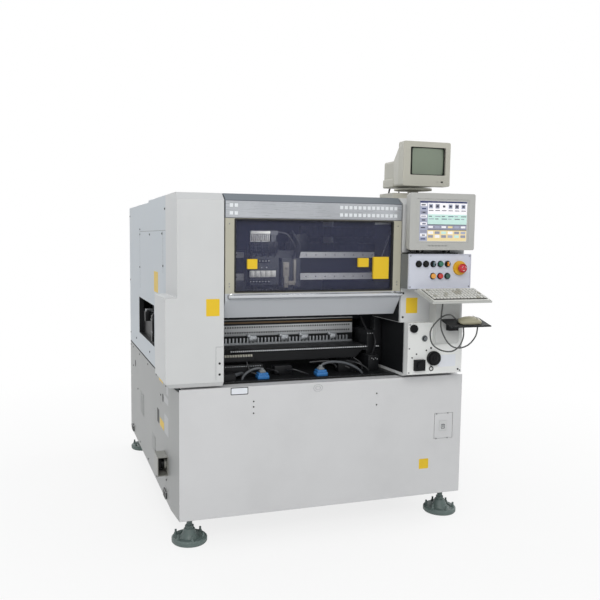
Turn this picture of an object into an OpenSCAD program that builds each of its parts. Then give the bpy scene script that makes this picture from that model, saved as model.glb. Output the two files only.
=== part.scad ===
// Floor-standing surface-mount pick and place machine with front safety hood,
// feeder bay, gantry head, board conveyor and operator station.
// X runs left to right seen from the operator, Y to the rear, Z up, millimetres.

/* [Base cabinet] */
// Width across the front lower panel
base_w = 1308; // [1200:1:1500]
// Depth from the front panel to the rear panel
base_d = 1530; // [1450:1:1700]
// Height of the lower panels
base_h = 548; // [500:1:600]
// Height of the panels' lower edge above the floor
base_lift = 114; // [105:1:160]
// Sheet thickness of the lower panels
skin = 3; // [2:0.5:4]
// How far each side panel stands out of the front panel's edge
side_out = 11; // [6:1:16]
// Length of the slanted corner at the front of each side panel
corner_len = 138; // [100:1:160]
// Height of the shadow gap above the lower side panels
split_gap = 4; // [2:1:8]
// Depth of the sill in front of the machine bed
sill_d = 60; // [40:1:70]
// Thickness of the machine bed
bed_t = 21; // [17:1:25]

// Radius of the holes in the front lower panel
hole_r = 3.5; // [2.5:0.5:5]

/* [Feet] */
// Radius of a levelling foot
foot_r = 75; // [60:1:85]
// Distance of a foot's axis from the front panel's side edges
foot_in_x = 55; // [50:1:110]
// Distance of a foot's axis from the front and rear panels
foot_in_y = 70; // [60:1:110]
// Radius of the foot spindles
spindle_r = 12; // [10:1:16]
// Thickness of a foot's flat rim
foot_rim = 24; // [18:1:28]

/* [Upper covers] */
// Height of the covers above the machine bed
cover_h = 780; // [740:1:860]
// How far the covers stand in front of the front panel
cover_front = 25; // [15:1:40]
// Depth of the two front covers, measured from the front panel
cover_d = 243; // [220:1:270]
// Wall of the side covers
cover_wall = 25; // [18:1:30]
// Width of the left front cover
left_cover_w = 189; // [160:1:220]
// Width of the right front cover
right_cover_w = 308; // [290:1:318]
// How far the lower part of the left cover stands out sideways
cheek_out = 48; // [30:1:60]
// Height of that lower part
cheek_h = 363; // [320:1:400]
// Clear width of the feeder bay
bay_w = 818; // [790:1:824]
// Height at which the bay's right side steps inwards
bay_step_h = 240; // [200:1:260]
// Width by which the feeder bay reaches on under the right front cover
bay_step_w = 26; // [24:1:30]
// Edge chamfer under the front covers
chamfer = 20; // [10:1:25]
// Depth of the bevel along the front top edge
bevel_d = 40; // [20:1:50]
// Height of that bevel
bevel_h = 28; // [15:1:35]
// Depth at which the roof steps down
roof_step_y = 741; // [600:1:800]
// Drop of the rear part of the roof
roof_drop = 9; // [5:1:15]
// Thickness of the roof
roof_t = 27; // [22:1:32]

/* [Hoods] */
// Side clearance of the front hood
hood_clear = 5; // [4:0.5:8]
// Sheet thickness of the hood's top and band
hood_t = 18; // [14:1:20]
// Height of the printed band under the bevel
band_h = 71; // [60:1:80]
// Height of the hood's lower rail edge above the machine bed
hood_rail_z = 352; // [340:1:365]
// Height of the lower rail
rail_h = 30; // [24:1:36]
// Width of the hood's side stiles
stile_w = 38; // [30:1:45]
// Depth of the frame around the window
frame_t = 12; // [10:1:14]
// Thickness of the window panes
pane_t = 4; // [3:0.5:6]
// Height of the apron under the rail
apron_h = 78; // [60:1:90]
// How far the apron leans inwards
apron_in = 57; // [40:1:65]
// Radius of the hood handle
handle_r = 8; // [6:0.5:10]
// Distance of the handle's axis from the hood
handle_out = 22; // [18:1:30]
// Radius of the hood hinge knuckles
knuckle_r = 9; // [8:0.5:9]
// Distance of the outer hinge knuckles from the hood's side edges
knuckle_in = 71; // [60:1:90]
// Radius of the hood hinge pins
hinge_pin_r = 4; // [3:0.5:5]
// Radial clearance of hinge pins and guided shafts
pin_clear = 0.05; // [0.03:0.01:0.08]
// Depth of the rear hood
rear_hood_d = 231; // [200:1:260]
// Height of the fixed cover under the rear hood
rear_cover_h = 401; // [360:1:450]

/* [Gantry] */
// Height of the gantry's side beams above the bed
beam_z = 298; // [292:1:320]
// Least clearance of the gantry's beams above the conveyor's rails
beam_over = 40; // [30:1:60]
// Height of the side beams
beam_h = 70; // [50:1:80]
// Width of the side beams
beam_w = 65; // [50:1:70]
// Distance of the side beams' centre line from the machine's centre
beam_x = 592; // [580:1:600]
// Size of the square linear guides
guide_s = 20; // [15:1:24]
// Front face of the moving beam
xbeam_y = 450; // [420:1:520]
// Depth of the moving beam
xbeam_d = 110; // [90:1:140]
// Height of the moving beam
xbeam_h = 134; // [120:1:150]
// Travel of the moving beam towards the front
beam_fwd = 130; // [60:1:140]
// Travel of the moving beam towards the rear
beam_back = 560; // [300:1:620]
// Rest position of the head, measured to its centre
head_x = -143; // [-200:1:200]
// Width of the head
head_w = 246; // [200:1:260]
// Clearance between guides and carriages
guide_gap = 0.3; // [0.2:0.05:0.4]
// Pitch of the nozzle spindles
nozzle_pitch = 30; // [28:1:34]
// Radius of the nozzle spindles
nozzle_r = 8; // [6:0.5:10]
// Stroke of the nozzle spindles
nozzle_stroke = 55; // [40:1:60]

/* [Board conveyor] */
// Height of the board pass line above the floor
pass_h = 900; // [890:1:915]
// Front rail's front face
rail_y = 585; // [580:1:620]
// Width of each rail
rail_t = 24; // [20:1:28]
// Height of each rail
rail_prof_h = 45; // [36:1:55]
// Board width at rest
board_w = 270; // [240:1:330]
// Travel of the rear rail towards the front
rail_fwd = 200; // [100:1:215]
// Travel of the rear rail towards the rear
rail_back = 190; // [100:1:210]
// Radius of the rail guide shafts
shaft_r = 10; // [8:0.5:12]
// Stroke of the backup table
table_stroke = 30; // [20:1:36]
// Radius of the backup table's column
table_col_r = 20; // [15:1:25]

/* [Feeder bay] */
// Depth at which the feeder bank starts
bank_y = 195; // [180:1:220]
// Depth of the feeder bank
bank_d = 150; // [140:1:180]
// Width of the feeder bank
bank_w = 716; // [680:1:740]
// Height of the bank's top face above the bed
bank_h = 115; // [95:1:125]
// Thickness of the bank
bank_t = 58; // [40:1:64]
// Height of the rear wall of the bank above its top face
wall_h = 118; // [90:1:120]
// Pitch of the feeder slots
slot_pitch = 17; // [16:0.5:20]
// Width of a comb tooth
tooth_w = 7; // [5:0.5:8]
// Height of the comb teeth
tooth_h = 30; // [20:1:34]

/* [Operator station] */
// Width of the switch box
swbox_w = 303; // [300:1:306]
// Height of the switch box
swbox_h = 148; // [140:1:160]
// How far the switch box stands in front of the front cover
swbox_out = 67; // [60:1:80]
// Height of the switch box above the machine bed
swbox_z = 392; // [385:1:400]
// Radius of the push buttons
button_r = 11; // [9:0.5:12]
// Radius of the button shafts
button_shaft_r = 6; // [4:0.5:7]
// Stroke of the push buttons
button_stroke = 3; // [2:0.5:3]
// Spacing of the buttons
button_pitch = 35; // [33:0.5:37]
// Radius of the emergency stop's mushroom head
estop_r = 19; // [16:0.5:22]
// Radius of the emergency stop's collar
collar_r = 31; // [28:1:34]
// Width of the touch panel housing
lcd_w = 316; // [300:1:318]
// Height of the touch panel housing
lcd_h = 242; // [220:1:250]
// Depth of the touch panel housing
lcd_d = 60; // [50:1:64]
// Width of the camera monitor
crt_w = 233; // [220:1:250]
// Height of the camera monitor
crt_h = 193; // [180:1:210]
// Depth of the camera monitor
crt_d = 270; // [240:1:300]
// Width of the keyboard tray
kb_w = 281; // [270:1:300]
// Reach of the keyboard tray from its hinge
kb_reach = 164; // [150:1:175]
// Slope of the keyboard tray
kb_slope = 15; // [5:1:20]
// Width of the mouse tray
mouse_tray_w = 197; // [180:1:210]
// Depth of the mouse tray
mouse_tray_d = 96; // [85:1:110]
// Slope of the mouse tray
mouse_slope = 15; // [5:1:20]
// Radius of the cords
cord_r = 2.5; // [2:0.25:3]
// Width of the tray post
post_w = 117; // [100:1:130]
// How far the lower switch plate stands in front of the front cover
plate_out = 34; // [25:1:40]
// Width of the lower switch plate
plate_w = 270; // [262:1:280]

/* [Access hatch] */
// Width of the hatch
hatch_w = 92; // [80:1:110]
// Height of the hatch
hatch_h = 115; // [100:1:130]
// Height of the hatch's lower edge above the panels' lower edge
hatch_z = 257; // [220:1:300]
// Distance of the hatch from the front panel's right edge
hatch_in = 44; // [40:1:80]

/* [Main switch] */
// How far the switch guard stands out of the left side panel
guard_out = 46; // [40:1:48]
// Distance of the main switch from the front panel
ms_y = 250; // [200:1:300]
// Height of the main switch above the floor
ms_z = 286; // [240:1:330]

/* [Hidden] */
$fn = 48;

hw = base_w/2;
so = hw + side_out;
z0 = base_lift;
z1 = z0 + base_h;
split_z = z1 - 11;
bed_z = split_z + bed_t;
top_z = bed_z + cover_h;
si = so - cover_wall;
bay_l = -so + left_cover_w;
bay_r = bay_l + bay_w;
hg_l = bay_l;
hg_r = bay_r - bay_step_w;
rc_r = hg_r + right_cover_w;
hd_l = hg_l + hood_clear;
hd_r = hg_r - hood_clear;
cf = -cover_front;

// hood heights
hb_z = top_z - bevel_h;
band_z = hb_z - band_h;
rail_z = bed_z + hood_rail_z;
hinge_y = cover_d + 4;
hinge_z = top_z - knuckle_r;
roof_y0 = hinge_y + knuckle_r*2;
roof_y1 = base_d - rear_hood_d - 2*knuckle_r;
rhinge_y = base_d - rear_hood_d;
rtop_z = top_z - roof_drop;
rhinge_z = rtop_z - knuckle_r;
rc_z = split_z + split_gap + rear_cover_h;
knuckles = [hd_l + knuckle_in, (hd_l + hd_r)/2, hd_r - knuckle_in];
rknuckles = [-480, 0, 480];
knuckle_l = 60;
lug_l = 20;

// gantry
bz0 = max(bed_z + beam_z, pass_h + 5 + beam_over);
bz1 = bz0 + beam_h;
gz1 = bz1 + guide_s;
post_h0 = 130;
gfront_y = 290;
gback_y = base_d - 50;
xb_z0 = gz1 + 18;
xb_z1 = xb_z0 + xbeam_h;
xg = [xb_z0 + 5, xb_z1 - 25];
gface = xbeam_y - 12;
hx0 = head_x - head_w/2;
nz_x = [for (i = [0:3]) hx0 + 22 + i*nozzle_pitch];
nz_y = xbeam_y - 112;
nz_bot = xb_z0 - 103;
head_z0 = xb_z0 - 38;

// conveyor
pr_z0 = pass_h - rail_prof_h + 5;
rail2_y = rail_y + rail_t + board_w;
shaft_z = (bed_z + pr_z0)/2 + 14;
table_z = pr_z0 - 62;
boss_z = bed_z + (table_z - bed_z)*5/9;
shaft_x = [-450, 450];
shaft_end = rail2_y + rail_t + rail_back + 55;
rail_l = so - 4;

// feeder bank
bk_l = bay_l + 6;
bk_r = bk_l + bank_w;
bk_top = bed_z + bank_h;
slots = floor((bank_w - 20)/slot_pitch);

// operator station
sb_l = hg_r - 4;
sb_r = sb_l + swbox_w;
sb_y = cf - swbox_out;
sb_z = bed_z + swbox_z;
sb_top = sb_z + swbox_h;
pl_t = 4;
row1_z = sb_z + 106;
row2_z = sb_z + 54;
bt_x = [for (i = [0:4]) sb_l + 46 + i*button_pitch];
es_x = sb_r - 56;
es_z = sb_z + 88;
post_x0 = sb_l + 146;
post_x1 = post_x0 + post_w;
post_y = sb_y + 8;
lp_l = bay_r - 4;
lp_r = lp_l + plate_w;
lp_y = cf - plate_out;
lp_z0 = bed_z + 13;
lp_z1 = bed_z + bay_step_h + 1;
kb_y = sb_y - 4;
kb_z = sb_z - 8;
kb_x = sb_l + 165;
kb_pin_r = 4;
kb_kn_r = 7;
mt_x0 = post_x0 + 20;
mt_x1 = mt_x0 + mouse_tray_w;
mt_y = post_y - 10;
mt_z = bed_z + 258;
lcd_x = sb_l + 2 + lcd_w/2;
lcd_y = sb_y;
lcd_z = sb_top + 17;
lcd_pin_y = sb_y + 32;
lcd_pin_z = sb_top + 12;
crt_x = sb_l + 146;
crt_y = 30;
crt_z = top_z + 57;
crt_pin_y = crt_y + 120;

// hatch
ht_x1 = hw - hatch_in;
ht_x0 = ht_x1 - hatch_w;
ht_z0 = z0 + hatch_z;
ht_z1 = ht_z0 + hatch_h;
ht_pin_x = ht_x1 - 10;
ht_pin_y = skin + 3.5;
ht_gap = 2;

tray_rim = 8;

// outermost sizes, for the origin
x_min = -so - max(cheek_out, guard_out);
x_max = max(so, mt_x1, hw - foot_in_x + foot_r);
y_min = kb_y - kb_reach*cos(kb_slope) - tray_rim*sin(kb_slope);
y_max = max(base_d, base_d - foot_in_y + foot_r);

// cord routes
kb_cord_pts = [[449, -150, 1040.5], [448, -150, 1000], [442, -150, 942], [446, -150, 891],
    [480, -150, 834], [525, -150, 810], [579, -150, 821], [615, -150, 858], [623, -150, 893], [623, -150, 907]];
mouse_cord_pts = [[536.5, -133, 924], [516, -139, 940], [485, -150, 956], [437, -162, 947],
    [390, -162, 901], [387, -162, 859], [402, -162, 828], [442, -162, 805], [491, -162, 799],
    [529, -160, 819], [551, -155, 858], [553, -151, 893], [553, -150, 907]];

// ---------- helpers ----------
module bx(x0, x1, y0, y1, za, zb) translate([x0, y0, za]) cube([x1 - x0, y1 - y0, zb - za]);
module xprism(x0, x1, pts) translate([x0, 0, 0]) rotate([90, 0, 90]) linear_extrude(x1 - x0) polygon(pts);
module yprism(y0, y1, pts) translate([0, y1, 0]) rotate([90, 0, 0]) linear_extrude(y1 - y0) polygon(pts);
module zprism(za, zb, pts) translate([0, 0, za]) linear_extrude(zb - za) polygon(pts);
module xcyl(r, x0, x1, y, z) translate([x0, y, z]) rotate([0, 90, 0]) cylinder(h = x1 - x0, r = r);
module ycyl(r, y0, y1, x, z) translate([x, y1, z]) rotate([90, 0, 0]) cylinder(h = y1 - y0, r = r);
module zcyl(r, za, zb, x, y) translate([x, y, za]) cylinder(h = zb - za, r = r);
function rr(w, h, r, n = 4) = [for (c = [[1, 1, 0], [-1, 1, 90], [-1, -1, 180], [1, -1, 270]])
    for (i = [0:n]) [c[0]*(w/2 - r) + r*cos(c[2] + 90*i/n), c[1]*(h/2 - r) + r*sin(c[2] + 90*i/n)]];
// plan outline of the lower cabinet, set in by a sheet thickness
function plan(i) = [[-hw + i, i], [hw - i, i], [so - i, corner_len], [so - i, base_d - i],
    [-so + i, base_d - i], [-so + i, corner_len]];
module placed() translate([-(x_min + x_max)/2, -(y_min + y_max)/2, 0]) children();

// smooth tube through hand-chosen points
function unit(v) = v/norm(v);
function spline(p, i, t) = let (a = p[max(i - 1, 0)], b = p[i], c = p[i + 1], d = p[min(i + 2, len(p) - 1)])
    0.5*(2*b + (c - a)*t + (2*a - 5*b + 4*c - d)*t*t + (3*b - a - 3*c + d)*t*t*t);
function route(p, n) = concat([for (i = [0:len(p) - 2]) for (k = [0:n - 1]) spline(p, i, k/n)], [p[len(p) - 1]]);
module tube(p, r, sides = 8, n = 3) {
    q = route(p, n);
    m = len(q);
    rings = [for (i = [0:m - 1]) let (t = unit(q[min(i + 1, m - 1)] - q[max(i - 1, 0)]),
        s = unit(cross(t, [0, 1, 0])), u = cross(s, t))
        for (k = [0:sides - 1]) q[i] + r*(s*cos(360*k/sides) + u*sin(360*k/sides))];
    faces = concat([[for (k = [0:sides - 1]) k]],
        [[for (k = [sides - 1:-1:0]) (m - 1)*sides + k]],
        [for (i = [0:m - 2]) for (k = [0:sides - 1]) let (a = i*sides + k, b = i*sides + (k + 1)%sides)
            each [[a, a + sides, b], [b, a + sides, b + sides]]]);
    polyhedron(rings, faces);
}

// ---------- lower cabinet ----------
module base_frame() color("#8f9496") difference() {
    union() {
        zprism(z0, split_z, plan(skin));
        for (sx = [-1, 1], y = [foot_in_y, base_d - foot_in_y])
            zcyl(34, z0 - 14, z0, sx*(hw - foot_in_x), y);
    }
    for (sx = [-1, 1], y = [foot_in_y, base_d - foot_in_y])
        zcyl(spindle_r, z0 - 15, z0 + 40, sx*(hw - foot_in_x), y);
    bx(ht_x0 - 16, ht_x1 + 16, 0, 120, ht_z0 - 20, ht_z1 + 20);
}
module foot(x, y) translate([x, y, 0]) {
    rotate_extrude() polygon([[0, 0], [foot_r - 4, 0], [foot_r, 5], [foot_r, foot_rim - 5], [foot_r - 5, foot_rim],
        [foot_r - 23, foot_rim], [foot_r - 27, foot_rim - 5], [40, foot_rim - 3], [31, foot_rim + 10],
        [24, foot_rim + 30], [21, foot_rim + 34], [0, foot_rim + 34]]);
    zcyl(spindle_r, foot_rim + 30, z0 + 40, 0, 0);
    for (a = [0:60:300]) rotate(a + 30) {
        zcyl(4.5, foot_rim - 4, foot_rim + 20, foot_r - 14, 0);
        translate([foot_r - 14, 0, foot_rim - 1]) cylinder(h = 8, r = 7.5, $fn = 6);
    }
    translate([0, 0, foot_rim + 33]) cylinder(h = 13, r = 19, $fn = 6);
}
module levelling_feet() color("#4d5d62")
    for (sx = [-1, 1], y = [foot_in_y, base_d - foot_in_y]) foot(sx*(hw - foot_in_x), y);
module machine_bed() color("#2a2b2d") {
    difference() {
        union() {
            bx(-si, si, sill_d, base_d - cover_wall, split_z, bed_z);
            zcyl(40, bed_z, boss_z, 0, rail_y + rail_t + 70);
        }
        zcyl(table_col_r + pin_clear, split_z + 5, boss_z + 1, 0, rail_y + rail_t + 70);
    }
}
module front_lower_panel() color("#dcdcda") {
    difference() {
        bx(-hw, hw, 0, skin, z0, z1);
        bx(ht_x0 - ht_gap, ht_x1 + ht_gap, -1, skin + 1, ht_z0 - 1, ht_z1 + 1);
        // fixing and jacking holes under the feeder bay
        for (h = [[-hw + 313, 65], [-hw + 313, 88], [-hw + 313, 115], [hw - 430, 64], [hw - 430, 115]])
            ycyl(hole_r, -1, skin + 1, h[0], z1 - h[1]);
    }
    bx(-hw + skin + 10, hw - skin - 10, skin, sill_d, z1 - skin, z1);
    bx(-hw + skin + 10, hw - skin - 10, skin, skin + 8, split_z, z1 - skin);
    for (z = [ht_z0 - 10, ht_z1 + 2]) difference() {
        bx(ht_pin_x - 5, ht_pin_x + 5, skin, skin + 8, z, z + 8);
        zcyl(2 + pin_clear, z - 1, z + 9, ht_pin_x, ht_pin_y);
    }
}
module side_lower_panel(louvres) difference() {
    zprism(z0, split_z, [[-hw, skin], [-so, corner_len], [-so, base_d - skin], [-so + skin, base_d - skin],
        [-so + skin, corner_len], [-hw + skin, skin]]);
    if (louvres) {
        for (i = [0:6]) bx(-so - 1, -so + skin - 1, 560, 660, 236 + i*12, 242 + i*12);
        for (i = [0:9]) bx(-so - 1, -so + skin - 1, 960, 1090, 320 + i*12, 326 + i*12);
        bx(-so - 1, -so + skin - 1, 545, 610, 385, 445);
        bx(-so - 1, -so + skin - 1, 395, 435, 515, 560);
    }
}
module left_lower_panel() color("#cfd0ce") {
    side_lower_panel(true);
    for (y = [230, 1370]) bx(-so - 9, -so, y, y + 60, z0 + 14, z0 + 48);
}
module right_lower_panel() color("#cfd0ce") mirror([1, 0, 0]) {
    side_lower_panel(true);
    for (y = [230, 1370]) bx(-so - 9, -so, y, y + 60, z0 + 14, z0 + 48);
}
module rear_panels() color("#d6d6d3") {
    difference() {
        bx(-so, so, base_d - skin, base_d, z0, split_z);
        for (x = [-420, 300], i = [0:8]) bx(x, x + 120, base_d - 1, base_d + 1, 260 + i*14, 267 + i*14);
    }
    difference() {
        bx(-si, si, base_d - cover_wall, base_d, split_z + split_gap, rc_z);
        bx(-si + 60, si - 60, base_d - 4, base_d + 1, split_z + 50, rc_z - 60);
    }
}

// ---------- upper covers ----------
module front_cover_side(x0, x1) xprism(x0, x1, [[cf, bed_z + chamfer], [cf + chamfer, bed_z], [cover_d, bed_z],
    [cover_d, top_z], [cf + bevel_d, top_z], [cf, hb_z]]);
module left_front_cover() color("#dededb") {
    front_cover_side(-so, bay_l);
    intersection() {
        front_cover_side(-so - cheek_out, -so);
        yprism(cf, cover_d, [[-so - cheek_out, bed_z + chamfer], [-so - cheek_out + chamfer, bed_z], [-so, bed_z],
            [-so, bed_z + cheek_h], [-so - cheek_out, bed_z + cheek_h]]);
    }
}
module right_front_cover() color("#dededb") intersection() {
    front_cover_side(hg_r, rc_r);
    yprism(cf, cover_d, [[bay_r, bed_z], [rc_r, bed_z], [rc_r, top_z], [hg_r, top_z],
        [hg_r, bed_z + bay_step_h], [bay_r, bed_z + bay_step_h]]);
}
module side_cover() {
    difference() {
        xprism(-so, -si, [[cover_d, split_z + split_gap], [base_d, split_z + split_gap], [base_d, rtop_z],
            [roof_step_y, rtop_z], [roof_step_y, top_z], [cover_d, top_z]]);
        bx(-so - 1, -si + 1, rail_y - 7, rail_y + 536, pass_h - 148, pass_h + 50);
    }
}
module left_side_cover() color("#d3d5d6") side_cover();
module right_side_cover() color("#d3d5d6") {
    mirror([1, 0, 0]) side_cover();
    bx(rc_r - 24, si, cover_d, cover_d + 3, bed_z, top_z - roof_t);
}
module roof_panel() color("#d9dad8") {
    xprism(-si, si, [[roof_y0, top_z - roof_t], [roof_y1, top_z - roof_t], [roof_y1, rtop_z],
        [roof_step_y, rtop_z], [roof_step_y, top_z], [roof_y0, top_z]]);
    bx(-si, hg_l, cover_d, roof_y0, top_z - roof_t, top_z);
    bx(hg_r, si, cover_d, roof_y0, top_z - roof_t, top_z);
}
// fixed lugs and pin of one hinge, axis along X
module hinge_lugs(y, z, back) {
    for (s = [-1, 1]) difference() {
        union() {
            xcyl(knuckle_r - 0.3, s > 0 ? knuckle_l/2 + 1 : -knuckle_l/2 - 1 - lug_l, s > 0 ? knuckle_l/2 + 1 + lug_l : -knuckle_l/2 - 1, y, z);
            bx(s > 0 ? knuckle_l/2 + 1 : -knuckle_l/2 - 1 - lug_l, s > 0 ? knuckle_l/2 + 1 + lug_l : -knuckle_l/2 - 1,
                min(y, y + back), max(y, y + back), z - 5, z + 4);
        }
    }
    xcyl(hinge_pin_r, -knuckle_l/2 - 1, knuckle_l/2 + 1, y, z);
}
module hood_hinge_pins() color("#7f868b") {
    for (x = knuckles) translate([x, 0, 0]) hinge_lugs(hinge_y, hinge_z, 2*knuckle_r);
    for (x = rknuckles) translate([x, 0, 0]) hinge_lugs(rhinge_y, rhinge_z, -2*knuckle_r);
}

// ---------- front hood ----------
module knuckle(y, z, reach) difference() {
    union() {
        xcyl(knuckle_r - 0.3, -knuckle_l/2, knuckle_l/2, y, z);
        bx(-knuckle_l/2, knuckle_l/2, min(y, y + reach), max(y, y + reach), z + 1, z + knuckle_r - 0.3);
    }
    xcyl(hinge_pin_r + pin_clear, -knuckle_l/2 - 1, knuckle_l/2 + 1, y, z);
}
module hood_top() color("#74818c") {
    difference() {
        xprism(hd_l, hd_r, [[hinge_y - knuckle_r - 4, top_z], [cf + bevel_d, top_z], [cf, hb_z], [cf, band_z],
            [cf + hood_t, band_z], [cf + hood_t, hb_z - 10], [cf + bevel_d + 7, top_z - hood_t],
            [hinge_y - knuckle_r - 4, top_z - hood_t]]);
    }
    for (x = knuckles) translate([x, 0, 0]) knuckle(hinge_y, hinge_z, -knuckle_r - 5);
}
module hood_frame() color("#cfccb4") {
    difference() {
        bx(hd_l, hd_r, cf, cf + frame_t, rail_z, band_z);
        bx(hd_l + stile_w, hd_r - stile_w, cf - 1, cf + frame_t + 1, rail_z + rail_h, band_z - 2);
    }
    // apron leaning inwards
    xprism(hd_l, hd_r, [[cf, rail_z], [cf, rail_z - 4], [cf + apron_in, rail_z - apron_h], [cf + apron_in + 5, rail_z - apron_h + 3],
        [cf + frame_t, rail_z]]);
    // side flanges
    for (x = [hd_l, hd_r - 3]) difference() {
        xprism(x, x + 3, [[cf, rail_z - 4], [cf + apron_in, rail_z - apron_h], [cf + apron_in + 5, rail_z - apron_h + 3],
            [cf + apron_in + 5, band_z], [cf, band_z]]);
    }
}
module hood_window() color("#23263a")
    bx(hd_l + stile_w - 10, hd_r - stile_w + 10, cf + frame_t, cf + frame_t + pane_t, rail_z + rail_h - 8, band_z);
module hood_handle() color("#e4e6e8") {
    xcyl(handle_r, hd_l + 6, hd_r - 1, cf - handle_out, rail_z + rail_h/2);
    for (x = [hd_l + 30, (hd_l + hd_r)/2, hd_r - 30]) ycyl(handle_r*0.6, cf - handle_out, cf, x, rail_z + rail_h/2);
}

// ---------- rear hood ----------
module rear_hood_frame() color("#d9dad8") {
    difference() {
        xprism(-si + 4, si - 4, [[rhinge_y + knuckle_r + 4, rtop_z], [base_d, rtop_z], [base_d, rc_z + 4], [base_d - hood_t, rc_z + 4],
            [base_d - hood_t, rtop_z - hood_t], [rhinge_y + knuckle_r + 4, rtop_z - hood_t]]);
        bx(-si + 80, si - 80, base_d - hood_t - 1, base_d + 1, rc_z + 60, rtop_z - 60);
        for (x = [-300, 300]) bx(x - 60, x + 60, base_d - 10, base_d + 1, rc_z + 18, rc_z + 42);
    }
    for (x = rknuckles) translate([x, 0, 0]) knuckle(rhinge_y, rhinge_z, knuckle_r + 5);
}
module rear_hood_window() color("#23263a")
    bx(-si + 70, si - 70, base_d - hood_t - pane_t, base_d - hood_t, rc_z + 50, rtop_z - 50);

// ---------- gantry ----------
module gantry_frame() color("#3a3d40") for (s = [-1, 1]) {
    bx(s*beam_x - beam_w/2, s*beam_x + beam_w/2, gfront_y, gback_y, bz0, bz1);
    for (y = [gfront_y, gback_y - post_h0]) bx(s*beam_x - beam_w/2, s*beam_x + beam_w/2, y, y + post_h0, bed_z, bz0);
    bx(s*beam_x - guide_s/2, s*beam_x + guide_s/2, gfront_y + 5, gback_y - 5, bz1, gz1);
}
module moving_beam() color("#55595c") {
    bx(-beam_x - 22, beam_x + 22, xbeam_y, xbeam_y + xbeam_d, xb_z0, xb_z1);
    for (s = [-1, 1]) difference() {
        bx(s*beam_x - 24, s*beam_x + 24, xbeam_y, xbeam_y + xbeam_d, bz1 + 5, xb_z0);
        bx(s*beam_x - guide_s/2 - guide_gap, s*beam_x + guide_s/2 + guide_gap, xbeam_y - 1, xbeam_y + xbeam_d + 1, bz1 + 4, gz1 + guide_gap);
    }
    for (z = xg) bx(-beam_x + 50, beam_x - 50, gface, xbeam_y, z, z + guide_s);
}
module placement_head() color("#3f4246") {
    difference() {
        union() {
            bx(hx0, hx0 + head_w, xbeam_y - 58, xbeam_y - 22, head_z0 + 30, xb_z1 + 4);
            for (z = xg) difference() {
                bx(hx0 + 10, hx0 + head_w - 10, xbeam_y - 22, xbeam_y - guide_gap, z - 6, z + guide_s + 6);
                bx(hx0, hx0 + head_w, gface - guide_gap, xbeam_y + 1, z - guide_gap, z + guide_s + guide_gap);
            }
            // spindle block on the left
            bx(hx0, hx0 + 44 + 3*nozzle_pitch, nz_y - 24, xbeam_y - 58, head_z0, xb_z1 - 20);
            // spindle motors
            for (x = nz_x) bx(x - 12, x + 12, nz_y - 14, nz_y + 10, xb_z1 - 20, xb_z1 + 76);
            bx(hx0 + 4, hx0 + 40 + 3*nozzle_pitch, nz_y - 20, nz_y + 16, xb_z1 + 76, xb_z1 + 96);
            // vision unit on the right
            bx(hx0 + 154, hx0 + head_w, nz_y - 10, xbeam_y - 58, head_z0 + 10, xb_z1 - 30);
            zcyl(22, head_z0 - 26, head_z0 + 10, hx0 + 200, nz_y + 12);
        }
        for (x = nz_x) zcyl(nozzle_r + pin_clear, head_z0 - 1, xb_z1 - 40, x, nz_y);
    }
}
module nozzle(i) translate([nz_x[i], nz_y, 0]) rotate_extrude() polygon([[0, nz_bot], [1.5, nz_bot], [2.5, nz_bot + 10],
    [5, nz_bot + 14], [5, nz_bot + 22], [nozzle_r + 4, nz_bot + 24], [nozzle_r + 4, nz_bot + 30], [nozzle_r, nz_bot + 32],
    [nozzle_r, head_z0 + 96], [0, head_z0 + 96]]);
module nozzle_1() color("#c9ccd0") nozzle(0);
module nozzle_2() color("#c9ccd0") nozzle(1);
module nozzle_3() color("#c9ccd0") nozzle(2);
module nozzle_4() color("#c9ccd0") nozzle(3);

// ---------- board conveyor ----------
module conveyor_profile(y, dir) {
    bx(-rail_l, rail_l, y, y + rail_t, pr_z0, pass_h + 5);
    bx(-rail_l, rail_l, dir > 0 ? y + rail_t : y - 6, dir > 0 ? y + rail_t + 6 : y, pass_h - 12, pass_h - 4);
}
module conveyor_fixed_rail() color("#b9bcc0") {
    conveyor_profile(rail_y, 1);
    for (x = shaft_x) {
        bx(x - 30, x + 30, rail_y, rail_y + rail_t, bed_z, pr_z0);
        bx(x - 30, x + 30, shaft_end, shaft_end + 30, bed_z, shaft_z + 30);
        ycyl(shaft_r, rail_y + rail_t, shaft_end, x, shaft_z);
    }
}
module conveyor_moving_rail() color("#b9bcc0") {
    conveyor_profile(rail2_y, -1);
    for (x = shaft_x) difference() {
        bx(x - 26, x + 26, rail2_y, rail2_y + rail_t + 16, shaft_z - 24, pr_z0);
        ycyl(shaft_r + pin_clear, rail2_y - 1, rail2_y + rail_t + 17, x, shaft_z);
    }
}
module backup_table() color("#9a9da0") {
    difference() {
        bx(-220, 220, rail_y + rail_t + 12, rail_y + rail_t + 128, table_z, table_z + 20);
        for (x = [-190:38:190], y = [30, 110]) zcyl(4, table_z + 10, table_z + 21, x, rail_y + rail_t + y);
    }
    zcyl(table_col_r, bed_z + 5, table_z, 0, rail_y + rail_t + 70);
}

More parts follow.
